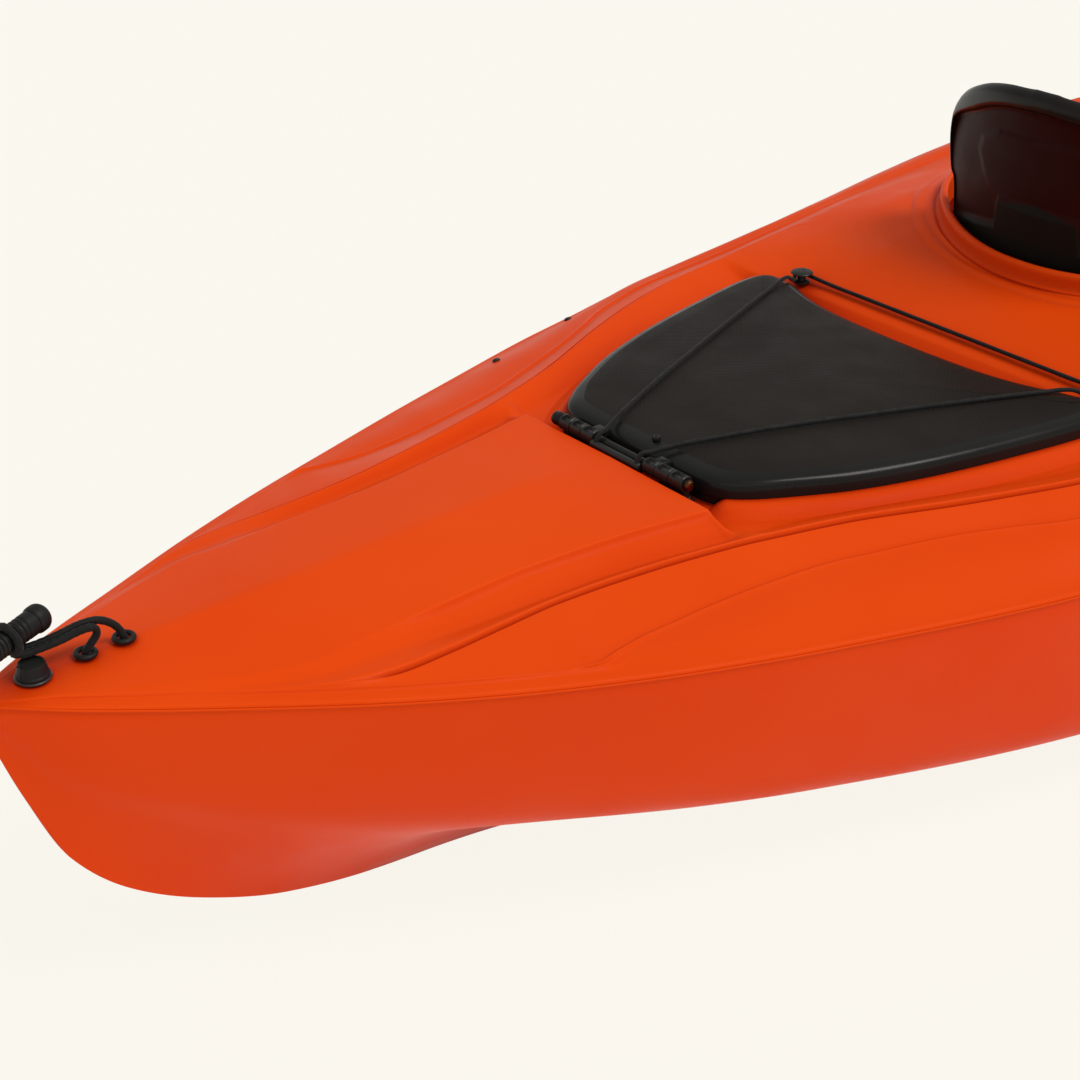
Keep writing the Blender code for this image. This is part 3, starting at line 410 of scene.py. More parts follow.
def fill(tree, entry, value):
    """Sets an input to a value, or joins it to another node's output."""
    if isinstance(value, bpy.types.NodeSocket):
        tree.links.new(value, entry)
    else:
        entry.default_value = value


def node(tree, kind, *entries, output=0, **settings):
    """Output of a new node; entries fill its inputs in order, and settings the inputs or fields they name."""
    made = tree.nodes.new("ShaderNode" + kind)
    for entry, value in zip(made.inputs, entries):
        fill(tree, entry, value)
    for key, value in settings.items():
        label = key.replace("_", " ").title()
        if label in made.inputs:
            fill(tree, made.inputs[label], value)
        else:
            setattr(made, key, value)
    return made.outputs[output]


def mapped(tree, value, from_min, from_max, to_min=0.0, to_max=1.0):
    """A number carried from one range to another and held inside it."""
    return node(tree, "MapRange", value, from_min=from_min, from_max=from_max, to_min=to_min, to_max=to_max)


def mottled(tree, coordinates, scale, *colours):
    """Colour that drifts between two colours."""
    made = node(tree, "ValToRGB", node(tree, "TexNoise", vector=coordinates, scale=scale, detail=4.0))
    for stop, position, colour in zip(made.node.color_ramp.elements, DRIFT, colours):
        stop.position = position
        stop.color = (*colour, 1)
    return made


def crossed(tree, coordinates, turn, pitch, distance, strength):
    """Relief of two families of fine lines that cross; pitch is in metres."""
    waves = []
    for quarter in (0, math.pi / 2):
        place = node(tree, "Mapping", vector=coordinates, rotation=(0, 0, turn + quarter))
        waves.append(node(tree, "TexWave", vector=place, bands_direction="X", scale=WAVE_PITCH / pitch,
                          distortion=0.0, output="Fac"))
    height = node(tree, "Math", *waves, operation="MULTIPLY")
    return node(tree, "Bump", height=height, strength=strength, distance=distance)


def finish_of(slot, name, first, second, rough, scale=9.0, grain=900.0, depth=.0002, strength=.25,
              metallic=0.0, specular=.5, weave=None, sheen=0.0):
    """Material with drifting colour and roughness, fine grain and perhaps crossed lines; and its slot."""
    made = bpy.data.materials.new(name)
    made.use_nodes = True
    tree = made.node_tree
    coordinates = node(tree, "TexCoord", output="Object")
    drift = node(tree, "TexNoise", vector=coordinates, scale=scale * 3, detail=3.0)
    fine = node(tree, "TexNoise", vector=coordinates, scale=grain, detail=2.0)
    under = {"normal": crossed(tree, coordinates, *weave)} if weave else {}
    looks = {"Metallic": metallic, "Specular IOR Level": specular, "Sheen Weight": sheen,
             "Base Color": mottled(tree, coordinates, scale, first, second),
             "Roughness": mapped(tree, drift, *DRIFT, *rough),
             "Normal": node(tree, "Bump", height=fine, strength=strength, distance=depth, **under)}
    for entry, value in looks.items():
        fill(tree, tree.nodes["Principled BSDF"].inputs[entry], value)
    return made, slot


def second_colour(finish, share, colour):
    """Other colour mixed over a finish's own; a share of 1 shows only the other one."""
    tree = finish[0].node_tree
    base = tree.nodes["Principled BSDF"].inputs["Base Color"]
    blend = node(tree, "Mix", share, data_type="RGBA", output=2)
    fill(tree, blend.node.inputs[6], base.links[0].from_socket)
    fill(tree, blend.node.inputs[7], (*colour, 1))
    fill(tree, base, blend)


def paint_shade_in_hollows(finish, colour, reach):
    """Painted shade: deeper colour where the surface lies in a hollow or close to another piece."""
    tree = finish[0].node_tree
    openness = node(tree, "AmbientOcclusion", samples=8, distance=reach, output="AO")
    second_colour(finish, mapped(tree, openness, PAINTED_SHADE_BEGINS, PAINTED_SHADE_FULL, to_max=PAINTED_SHADE_SHARE), colour)


def darken_lower(finish, colour):
    """Second colour below the ledge of the back, which lies where backrest_ledge has it."""
    tree = finish[0].node_tree
    place = node(tree, "SeparateXYZ", node(tree, "TexCoord", output="Object")).node.outputs
    side = node(tree, "Math", place["Y"], operation="ABSOLUTE")
    level = node(tree, "Math", side, LEDGE_SLOPE, place["Z"], operation="MULTIPLY_ADD")
    step = mapped(tree, side, LEDGE_STEP + .002, LEDGE_STEP - .002, .3847, .4090)
    above = node(tree, "Math", level, step, operation="SUBTRACT")
    second_colour(finish, mapped(tree, above, .0015, -.0015), colour)


ORANGE = finish_of("deck_orange", "orange_polyethylene", (.765, .060, .0028), (.795, .070, .0038),
                   (.34, .44), scale=5.0, grain=420.0, depth=.00012, strength=.30, specular=.038)
HULL_ORANGE = finish_of("hull_orange", "orange_hull_polyethylene", (.80, .053, .0020), (.83, .063, .0028),
                        (.38, .50), scale=4.0, grain=380.0, depth=.00015, strength=.35, specular=.06)
BLACK = finish_of("black_plastic", "black_moulded_plastic", (.010, .010, .0095), (.016, .016, .015),
                  (.30, .42), grain=1500.0, depth=.00006, strength=.3, specular=.35)
GLOSS_BLACK = finish_of("black_plastic", "black_gloss_rim", (.009, .009, .0085), (.013, .013, .012),
                        (.20, .28), grain=1200.0, depth=.00004, strength=.15, specular=.16)
LID_BLACK = finish_of("black_plastic", "black_lid_plastic", (.0145, .0120, .0100), (.0200, .0170, .0145),
                      (.44, .56), grain=1300.0, depth=.00006, strength=.35, specular=.07,
                      weave=(math.radians(45), .0034, .00026, .55))
BACK_BLACK = finish_of("black_plastic", "backrest_black_plastic", (.0085, .0080, .0066),
                       (.0120, .0112, .0094), (.28, .38), grain=1100.0, depth=.00006, strength=.25,
                       specular=.18)
BACK_HOLLOW = finish_of("black_plastic", "backrest_dark_hollow", (.0225, .0027, .0016),
                        (.0290, .0038, .0024), (.42, .54), grain=900.0, depth=.00010, strength=.35,
                        specular=.06)
RUBBER = finish_of("black_rubber", "black_rubber", (.0065, .0065, .0062), (.0115, .0115, .0110), (.46, .58),
                   grain=1600.0, depth=.00010, strength=.4, specular=.24)
CORD = finish_of("black_cord", "black_braided_cord", (.0052, .0052, .0050), (.0105, .0105, .0100),
                 (.55, .75), scale=60.0, grain=2400.0, depth=.00018, strength=.9, specular=.18, sheen=.08)
FABRIC = finish_of("seat_fabric", "black_woven_fabric", (.012, .012, .013), (.022, .022, .023), (.70, .88),
                   scale=30.0, grain=1800.0, depth=.00015, strength=.5, weave=(0.0, .0016, .0004, .8),
                   specular=.3, sheen=.3)
PIPING = finish_of("seat_fabric", "grey_piping", (.05, .05, .05), (.08, .08, .08), (.6, .75), scale=50.0,
                   grain=2000.0, depth=.00012, strength=.5, sheen=.3)
FOAM = finish_of("grey_foam", "grey_foam", (.34, .34, .35), (.42, .42, .43), (.75, .9), scale=20.0,
                 grain=700.0, depth=.0006, strength=.6)
BRASS = finish_of("brass_end", "dull_brass", (.085, .034, .014), (.13, .055, .024), (.25, .40), scale=90.0,
                  grain=1800.0, depth=.00004, strength=.3, metallic=1.0)
STEEL = finish_of("steel", "plain_steel", (.45, .45, .46), (.58, .58, .60), (.22, .34), scale=80.0,
                  grain=2200.0, depth=.00003, strength=.3, metallic=1.0)
PLUG_RIM = finish_of("black_plastic", "plug_rim_grey", (.020, .018, .018), (.034, .029, .029), (.30, .42),
                     grain=1500.0, specular=.5)
RUBBER_TRIM = (RUBBER[0], "black_plastic")

# Painted shade on the orange: deep red in its valleys, creases and beside other pieces, from ambient
# occlusion
paint_shade_in_hollows(ORANGE, (.43, .015, .0006), .038)
darken_lower(BACK_HOLLOW, (.0105, .0085, .0066))


# Lines of the hull and the deck

# Radii of the corners that deck_keys gives, and how finely they and the straights between them are cut
DECK_CORNERS = (.05, .0016, .0040, .005, .0018, .0007, .0007, .0016, .0010, .0016, .05, .006, .0022, .0010)
CORNER_STEPS = 5
STRAIGHT_STEPS = 3
FINE_STEPS = [(0, .10, .002), (.10, 1.30, .0055), (1.30, 2.10, .012), (2.10, 2.95, .0085), (2.95, 3.05, .002),
              (.562, .596, .0012), (.610, .626, .0008), (.903, .914, .0008), (.958, .976, .0015),
              (1.076, 1.110, .0010), (2.005, 2.050, .0012)]
LEAST_STEP = 0.0007
CHANNEL_DEPTH = 0.0040
GROOVE_DEPTH = 0.0030
BEAD_HEIGHT = 0.0024
HOLE_MARGIN = 0.012
SEAM_LIP_RADIUS = 0.0011


def visual_stations():
    """Distances from the stern of the sections, closer together where the shape changes fast."""
    spots = sorted([0.0, LENGTH] + [spot for steps in FINE_STEPS for spot in np.arange(*steps)])
    kept = spots[:1]
    for spot in spots[1:]:
        if spot - kept[-1] > LEAST_STEP:
            kept.append(float(spot))
    kept[-1] = LENGTH
    return kept


def panel_height(aft, line, fore_line, start):
    """Height of a line of the stern panel, the hatch recess and the fore deck."""
    if aft < HATCH_MIDDLE:
        drop = ease(aft, start - .001, start + .0085)
        return through(line, min(aft, RECESS_START)) * (1 - drop) + RECESS_FLOOR * drop
    rise = ease(aft, RECESS_FLOOR_END - .002, RECESS_END + .004)
    return RECESS_FLOOR * (1 - rise) + through(fore_line, max(aft, RECESS_END)) * rise


def crease_places(aft, beam, roll):
    """Breadths of the deck's creases, in order from the centreline and clear of the gunwale's roll."""
    limit = beam - roll
    places = []
    for line in (CREASE_SHARE, RIDGE_SHARE, VALLEY_SHARE, EDGE_SHARE):
        limit = min(through(line, aft) * beam, CREASE_SPACING * limit)
        places.append(limit)
    return places[::-1]


def deck_keys(aft):
    """Corners of the deck's half section from the centreline to the gunwale's rim."""
    beam = through(HALF_BEAM, aft)
    roll = min(ROLL_WIDTH, beam / 4)
    edge_at, valley_at, ridge_at, crease_at = crease_places(aft, beam, roll)
    side_at = beam - roll

    # Stern panel and the channel beside it
    channel = window(aft, .26, .34, .560, .575)
    crown = panel_height(aft, CROWN, FORE_CROWN, RECESS_START)
    edge = panel_height(aft, EDGE_RISE, FORE_EDGE, RECESS_START + .001)
    valley = panel_height(aft, VALLEY_RISE, FORE_VALLEY, RECESS_START + .014) - CHANNEL_DEPTH * channel
    shoulder = min(.0038, .4 * (valley_at - edge_at))
    slope = (edge - valley) * shoulder / max(valley_at - edge_at, 1e-6)

    # Ridge with the groove at its foot, and the crease with its bead
    ridge = through(RIDGE_RISE, aft) + .0006 * window(aft, .28, .34, .90, 1.05)
    crease = through(CREASE_RISE, aft)
    fall = max(crease_at - ridge_at, 1e-6)
    foot = min(.0030, .3 * (crease_at - ridge_at))
    step = GROOVE_DEPTH * window(aft, .22, .26, 1.00, 1.12)
    foot_height = ridge + (crease - ridge) * foot / fall - step
    gap = min(.0028, .2 * (crease_at - ridge_at))
    bead = BEAD_HEIGHT * window(aft, .36, .39, 1.15, 1.35)
    before = crease + (foot_height - crease) * gap / max(crease_at - ridge_at - foot, 1e-6)

    # Side up to the rolled gunwale, and its rim
    sheer = through(SHEER, aft)
    top = sheer + through(ROLL_RISE, aft)
    low = top - min((1 - ROLL_SHOULDER) * through(ROLL_RISE, aft), ROLL_DROP)
    bulge = through(SIDE_BULGE, aft)
    after = crease + (top - crease) * .0030 / max(side_at - crease_at, .01) + .35 * bulge
    rim = sheer + SEAM_GAP
    lip = min(.0028, .4 * (low - rim))
    return [(0.0, crown), (edge_at / 2, .55 * crown + .45 * edge), (edge_at, edge),
            (edge_at + shoulder, edge - slope - .0034 * channel), (valley_at, valley), (ridge_at, ridge),
            (ridge_at + foot, foot_height - .5 * step), (ridge_at + 1.6 * foot, foot_height + .35 * step),
            (crease_at - gap, before), (crease_at, crease + bead),
            (crease_at + min(.0030, .25 * (side_at - crease_at)), after if bead else crease),
            ((crease_at + side_at) / 2, (crease + top) / 2 + bulge), (side_at, top), (beam - .15 * roll, low),
            (beam, rim + lip), (beam, rim)]


def deck_height(aft, breadth):
    """Height of the deck's top, as if it had no hole."""
    return straight(deck_keys(aft)[:-1], abs(breadth))


def clear_height(spots):
    """Height at which a piece clears the deck at all of the spots."""
    return max(deck_height(*spot) for spot in spots) + 2 * FIT_GAP


def cockpit_point(turn, offset):
    """Point on the cockpit oval, moved outwards by the offset."""
    reach = COCKPIT_FORE if math.cos(turn) > 0 else COCKPIT_AFT
    return (COCKPIT_WIDEST + (reach + offset) * math.cos(turn),
            (COCKPIT_HALF_WIDTH + offset) * math.sin(turn))


def hatch_half(aft):
    """Half breadth of the hatch opening under the cover, or 0 in front of it and behind it."""
    side = [(HATCH_MIDDLE + (a - HATCH_MIDDLE) * HATCH_HOLE_SCALE, y * HATCH_HOLE_SCALE)
            for a, y in COVER_OUTLINE[1:12]]
    end = HATCH_MIDDLE + (COVER_OUTLINE[-1][0] - HATCH_MIDDLE) * HATCH_HOLE_SCALE
    return straight(side, aft) if side[0][0] <= aft <= end else 0.0


def hole_half(aft):
    """Half breadth of whatever opening the deck has at a distance from the stern."""
    reach = (COCKPIT_FORE if aft > COCKPIT_WIDEST else COCKPIT_AFT) + HOLE_MARGIN
    share = (aft - COCKPIT_WIDEST) / reach
    if abs(share) < 1:
        return (COCKPIT_HALF_WIDTH + HOLE_MARGIN) * math.sqrt(1 - share * share)
    return hatch_half(aft)


def deck_half_loop(aft):
    """Loop of one half of the deck, top out to the gunwale and underside back; and if it has a hole."""
    top = rounded(deck_keys(aft), DECK_CORNERS)
    beam, rim = top[-1]
    hole = hole_half(aft)
    if hole:
        in_cockpit = aft > RECESS_END
        turn = through(CREASE_SHARE, aft) * beam if in_cockpit else deck_keys(aft)[4][0] - .0030
        inner = top[:, 0] < turn
        moved_in = hole + (turn - hole) * top[inner, 0] / turn
        heights = np.interp(moved_in, top[:-1, 0], top[:-1, 1])
        top[inner, 0] = moved_in
        top[inner, 1] = heights
    wall = min(DECK_WALL, .4 * beam)
    under = top.copy()
    under[:, 1] = np.maximum(top[:, 1] - wall, rim + .0002)
    under[:, 0] = top[:, 0] - wall * np.clip((top[:, 0] - .75 * beam) / (.25 * beam), 0, 1)
    under[-1, 1] = rim
    return np.vstack([top, under[::-1]]), hole > 0


def hull_half(aft, wall=0.0):
    """Half section of the hull from the keel to the gunwale, moved in by the wall."""
    beam = through(HALF_BEAM, aft) - wall
    top = through(SHEER, aft) - .0006
    keel = through(KEEL, aft) + wall
    chine_breadth = through(CHINE_SHARE, aft) * beam
    chine_height = keel + through(CHINE_RISE, aft) * (top - keel)
    flat = through(FLAT_BOTTOM, aft) * chine_breadth
    power = through(BOTTOM_POWER, aft)
    points = [(0.0, keel), (flat, keel)]
    points += [(flat + (chine_breadth - flat) * s, keel + (chine_height - keel) * s ** power)
               for s in np.linspace(0, 1, 16)[1:]]
    points += [(chine_breadth + (beam - chine_breadth) * s ** SIDE_POWER,
                chine_height + (top - chine_height) * s) for s in np.linspace(0, 1, 24)[1:]]
    points = np.array(points)
    for _ in range(6):
        points[2:-2] = .5 * points[2:-2] + .25 * (points[1:-3] + points[3:-1])
    if not wall:
        points[:, 0] -= SEAM_LIP_RADIUS * np.clip((points[:, 1] - (top - .006)) / .004, 0, 1)
    return points


def hull_half_loop(aft):
    """Loop of one half of the hull, its outside up to the gunwale and its inside back; it has no hole."""
    outer = hull_half(aft)
    wall = min(HULL_WALL, .4 * outer[-1][0], .4 * (outer[-1][1] - outer[0][1]))
    return np.vstack([outer, hull_half(aft, wall)[::-1]]), False


def make_shell(name, half_loop, finish, node_name, angle):
    """Both halves of a shell through its sections, open along the middle except beside a hole."""
    spots = visual_stations()
    loops, holes = zip(*[half_loop(aft) for aft in spots])
    size = len(loops[0])
    vertices = []
    faces = []
    for side in (1, -1):
        starts = [len(vertices) + row * size for row in range(len(spots))]
        for aft, loop in zip(spots, loops):
            vertices += [(along(aft), side * y, z) for y, z in loop]
        for i in range(len(spots) - 1):
            around = band(size, starts[i], starts[i + 1])
            faces += around if holes[i] or holes[i + 1] else around[:-1]
        for start in (starts[0], starts[-1]):
            faces += [(start + j, start + j + 1, start + size - 2 - j, start + size - 1 - j)
                      for j in range(size // 2 - 1)]
    piece(name, vertices, faces, finish, "hull", [node_name], angle)


def make_seam_lip():
    """Thin lip of the joint between hull and deck, all the way round."""
    places = [spot for spot in visual_stations()[::2] if .004 < spot < LENGTH - .004]
    near = [(along(a), -through(HALF_BEAM, a) - .0001, through(SHEER, a)) for a in places]
    far = [(x, -y, z) for x, y, z in near[::-1]]
    tube("seam_lip", near + far, SEAM_LIP_RADIUS, ORANGE, "hull", sides=8, closed=True)


def coaming_section(foot, ground, base):
    """Closed section, offsets from the oval and heights: foot, sloping band, upstand with lip, inside."""
    shoulder = ground + .0052
    crease = base + .0030
    return [(foot + .001, ground - .0022), (foot - .0020, ground + .0006), (foot - .0050, ground + .0034),
            (foot - .0095, shoulder), (foot - .0140, shoulder + .18 * (crease - shoulder)),
            ((foot - .014 + .0125) / 2, (shoulder + crease) / 2 + .0012), (.0145, crease + .0004),
            (.0118, crease), (.0096, base + .0048), (.0086, base + .0105), (.0084, base + .0160),
            (.0074, base + .0192), (.0048, base + .0207), (.0022, base + .0203), (.0006, base + .0186),
            (.0002, base + .0120), (.0004, base - .0060), (.0016, base - .0080), (.0048, base - .0080),
            (.0062, base - .0050), (.0120, base - .0055), ((foot + .012) / 2, (ground + base) / 2 - .0060),
            (foot - .004, ground - .0048)]


def make_coaming():
    """Raised ring round the cockpit."""
    loops = []
    for turn in turns(220):
        foot = .028 + .017 * abs(math.sin(turn)) ** 1.5
        ground = deck_height(*cockpit_point(turn, foot))
        base = deck_height(*cockpit_point(turn, .006))
        loop = []
        for offset, height in eased(coaming_section(foot, ground, base), 3, closed=True):
            a, y = cockpit_point(turn, offset)
            loop.append((along(a), y, height))
        loops.append(loop)
    lofted("cockpit_coaming", loops, ORANGE, "hull", closed=True, angle=60)


# Rear hatch

LID_WIDENING = 0.3
LID_CROWN = 0.0040
LID_TOP = 0.3206
LID_UNDERSIDE = 0.3171
GLOSS_BELOW = 0.3172
SILL_FOOT = 0.2870


def cover_curve():
    """The cover's outline and the directions into it, as many points in order."""
    line = np.array(eased(COVER_OUTLINE + [(a, -y) for a, y in COVER_OUTLINE[-2:0:-1]], 8, closed=True))
    run = np.roll(line, -1, axis=0) - np.roll(line, 1, axis=0)
    run /= np.maximum(np.linalg.norm(run, axis=1, keepdims=True), 1e-9)
    inward = np.stack([run[:, 1], -run[:, 0]], axis=1)
    for _ in range(8):
        inward = softened(inward)
    return line, inward / np.linalg.norm(inward, axis=1, keepdims=True)


def lid_rear(aft):
    """1 behind the lid's rear corners, where its edge is broader, and 0 in front of them."""
    return ease(.640 - aft, 0, .035)


def make_sill():
    """Rounded step of the deck round the hatch lid, up to the lid's lower edge."""
    section = [(-.0120, .2890), (-.0090, .2965), (-.0050, .2990), (-.0020, .2997), (.0010, .2998),
               (.0045, .2996), (.0075, .2985), (.0110, .2960), (.0150, .2930), (.0190, .2908), (.0240, .2888),
               (.0240, .2880), (-.0120, .2880)]
    loops = []
    for (a, y), (in_a, in_y) in zip(*cover_curve()):
        beside_hinge = 1 if a > .66 else ease(abs(y), .084, .102)
        loops.append([(along(a - in_a * out), y - in_y * out, SILL_FOOT + (height - SILL_FOOT) * beside_hinge)
                      for out, height in section])
    lofted("hatch_sill", loops, ORANGE, "hull", ["deck_shell"], closed=True, angle=60)


def make_cover():
    """Lid with a rounded edge, a crowned top, and an underside that follows it."""
    line, inward = cover_curve()
    size = len(line)
    middle = np.array([HATCH_MIDDLE, 0.0])
    widening = np.array([1 + LID_WIDENING * lid_rear(a) for a, _ in line])
    outside = [(0, .3003), (0, .3003), (0, .3040), (.0003, .3080), (.0011, .3110), (.0026, .3134),
               (.0046, .3150), (.0072, .3162), (.0120, .3177), (.0180, .3190), (.0240, .3200), (.0280, .3205)]
    inside = [(.0275, .3167), (.0130, .3140), (.0072, .3110), (.0042, .3060), (.0036, .3003)]
    shares = [1, .97, .93, .87, .78, .68, .56, .42, .28, .14]

    def inset_by(inset):
        return line + inward * (inset * widening)[:, None]

    def level(spots, height):
        return [(along(a), y, height) for a, y in spots]

    def crowned(share, height):
        return level(middle + (inset_by(.0300) - middle) * share, height + LID_CROWN * (1 - share ** 2.2))

    loops = [level(inset_by(inset), height) for inset, height in outside]
    loops += [crowned(share, LID_TOP) for share in shares]
    top_end = (len(loops) - 1) * size
    loops += [crowned(share, LID_UNDERSIDE) for share in shares[::-1]]
    loops += [level(inset_by(inset), height) for inset, height in inside]
    vertices = [point for loop in loops for point in loop]
    starts = [row * size for row in range(len(loops))]
    faces = [face for first, second in zip(starts, starts[1:] + starts[:1]) if first != top_end
             for face in band(size, first, second)]
    faces += fan(vertices, size, top_end, (along(HATCH_MIDDLE), 0, LID_TOP + LID_CROWN))
    faces += fan(vertices, size, top_end + size, (along(HATCH_MIDDLE), 0, LID_UNDERSIDE + LID_CROWN))
    made = piece("hatch_lid", vertices, faces, LID_BLACK, "hatch", ["hatch_cover"], angle=60)
    made.data.materials.append(GLOSS_BLACK[0])
    for polygon in made.data.polygons:
        polygon.material_index = int(polygon.center.z < GLOSS_BELOW)


# Shock cord

# How far in from the lid's outline its top stands how high
LID_EDGE = [(0, .3090), (.0007, .3125), (.0018, .3150), (.0034, .3170), (.0054, .3185), (.0080, .3196),
            (.0110, .3203), (.0135, LID_TOP)]
HOOK_SEAT = 0.009
HOOK_NECK_RISE = 0.0062
HOOK_NECK_RADIUS = 0.0042
CORD_CLEARANCE = 0.0001


def lid_height(aft, breadth, line):
    """Height of the lid's top, or of the recess beside it."""
    spot = np.array([aft, breadth])
    distances = np.linalg.norm(line - spot, axis=1)
    nearest = line[int(np.argmin(distances))]
    if np.linalg.norm(spot - (HATCH_MIDDLE, 0)) > np.linalg.norm(nearest - (HATCH_MIDDLE, 0)):
        return RECESS_FLOOR
    inset = distances.min() / (1 + 1.1 * lid_rear(nearest[0]))
    return straight(LID_EDGE, inset) + LID_CROWN * ease(inset, LID_EDGE[-1][0], .12)


def taut(spots, lowest):
    """Heights of a cord pulled tight over whatever it passes."""
    kept = []
    for spot, height in zip(spots, lowest):
        while len(kept) > 1 and ((kept[-1][1] - kept[-2][1]) * (spot - kept[-2][0])
                                 <= (height - kept[-2][1]) * (kept[-1][0] - kept[-2][0])):
            kept.pop()
        kept.append((spot, height))
    return np.interp(spots, *zip(*kept))


def hook_height():
    """Height at which a hook's round foot clears the deck under it."""
    a, y = HOOK_PLACE
    return clear_height([(a + HOOK_SEAT * math.cos(t), y + HOOK_SEAT * math.sin(t))
                         for t in np.arange(0, 6.2, .6)])


def bungee_route():
    """Closed loop: under the hinge, over the cover, round both hooks and back."""
    line, _ = cover_curve()
    a, z = HINGE
    drop = ROD_RADIUS + BUNGEE_RADIUS + .0014
    hook_a, hook_y = HOOK_PLACE
    neck = hook_height() + HOOK_NECK_RISE
    wrap = HOOK_NECK_RADIUS + BUNGEE_RADIUS + .0004
    halves = []
    for y, side in ((.0270, 1), (-.0245, -1)):
        turn = [(a - .0005, y, z - drop), (a - drop, y, z - .001), (a - .002, y, z + drop)]
        spots = np.linspace(a + .006, .966, 30)
        breadths = y + (side * (hook_y - .0008) - y) * (spots - a) / (.970 - a)
        lowest = [lid_height(s, b, line) + BUNGEE_RADIUS + CORD_CLEARANCE for s, b in zip(spots, breadths)]
        lowest[0] = z + drop
        lowest[-1] = neck + .0006
        leg = list(zip(spots, breadths, taut(spots, lowest)))
        hook = [(hook_a + wrap * math.cos(t), side * (hook_y + wrap * math.sin(t)), neck)
                for t in (1.9, 1.2, .6, 0)]
        halves.append(turn + leg + hook)
    front = []
    for share in np.linspace(.1, .9, 9):
        spot = (hook_a + .007, hook_y * (1 - 2 * share))
        front.append((*spot, max(neck - .0012, deck_height(*spot) + BUNGEE_RADIUS + .0005)))
    under = [(a, y, z - .0096) for y in (-.0125, .0012, .0150)]
    return [(along(a), y, z) for a, y, z in halves[0] + front + halves[1][::-1] + under]


def make_bungee():
    tube("shock_cord", eased(bungee_route(), 3, closed=True), BUNGEE_RADIUS - FIT_GAP, CORD, "hatch",
         ["bungee_loop"], closed=True, sides=16, strands=6, pitch=.0075)
    profile = [(.0030, 0), (.0085, 0), (.0087, .0008), (.0085, .0017), (.0072, .0022), (.0050, .0026),
               (.0043, .0034), (.0042, .0080), (.0048, .0086), (.0064, .0090), (.0106, .0093), (.0113, .0098),
               (.0113, .0103), (.0107, .0110), (.0092, .0118), (.0066, .0124), (.0038, .0127), (.0034, .0123),
               (.0014, .0123)]
    for side, label in SIDES:
        turned(f"cord_hook_{label}", profile, upright(HOOK_PLACE[0], side * HOOK_PLACE[1], hook_height()),
               BLACK, "hull", [f"bungee_hook_{label}"])


# Hinge

KNUCKLE_REACH = 0.0066
POCKET_RIM = 0.0028
POCKET_DEPTH = 0.0026
KNUCKLE_EDGE = 0.0005


def pocketed(name, low, high, body, stands_for=()):
    """Hinge knuckle along Y with a rectangular pocket sunk in its top."""
    a, z = HINGE
    inner_low = low + POCKET_RIM
    inner_high = high - POCKET_RIM
    spots = [low, low + KNUCKLE_EDGE, inner_low - .0002, inner_low + .0003, (low + high) / 2,
             inner_high - .0003, inner_high + .0002, high - KNUCKLE_EDGE, high]
    loops = []
    for spot in spots:
        loop = []
        for turn in turns(72):
            reach = KNUCKLE_REACH - (KNUCKLE_EDGE if spot in (low, high) else 0)
            off_top = abs(math.atan2(math.sin(turn - 1.75), math.cos(turn - 1.75)))
            if inner_low < spot < inner_high and off_top < .62:
                reach -= POCKET_DEPTH
            reach *= 1 + .07 * abs(math.sin(2 * turn)) ** 2
            loop.append((along(a) + reach * math.cos(turn), spot, z + reach * math.sin(turn)))
        loops.append(loop)
    lofted(name, loops, BLACK, body, stands_for, angle=32)


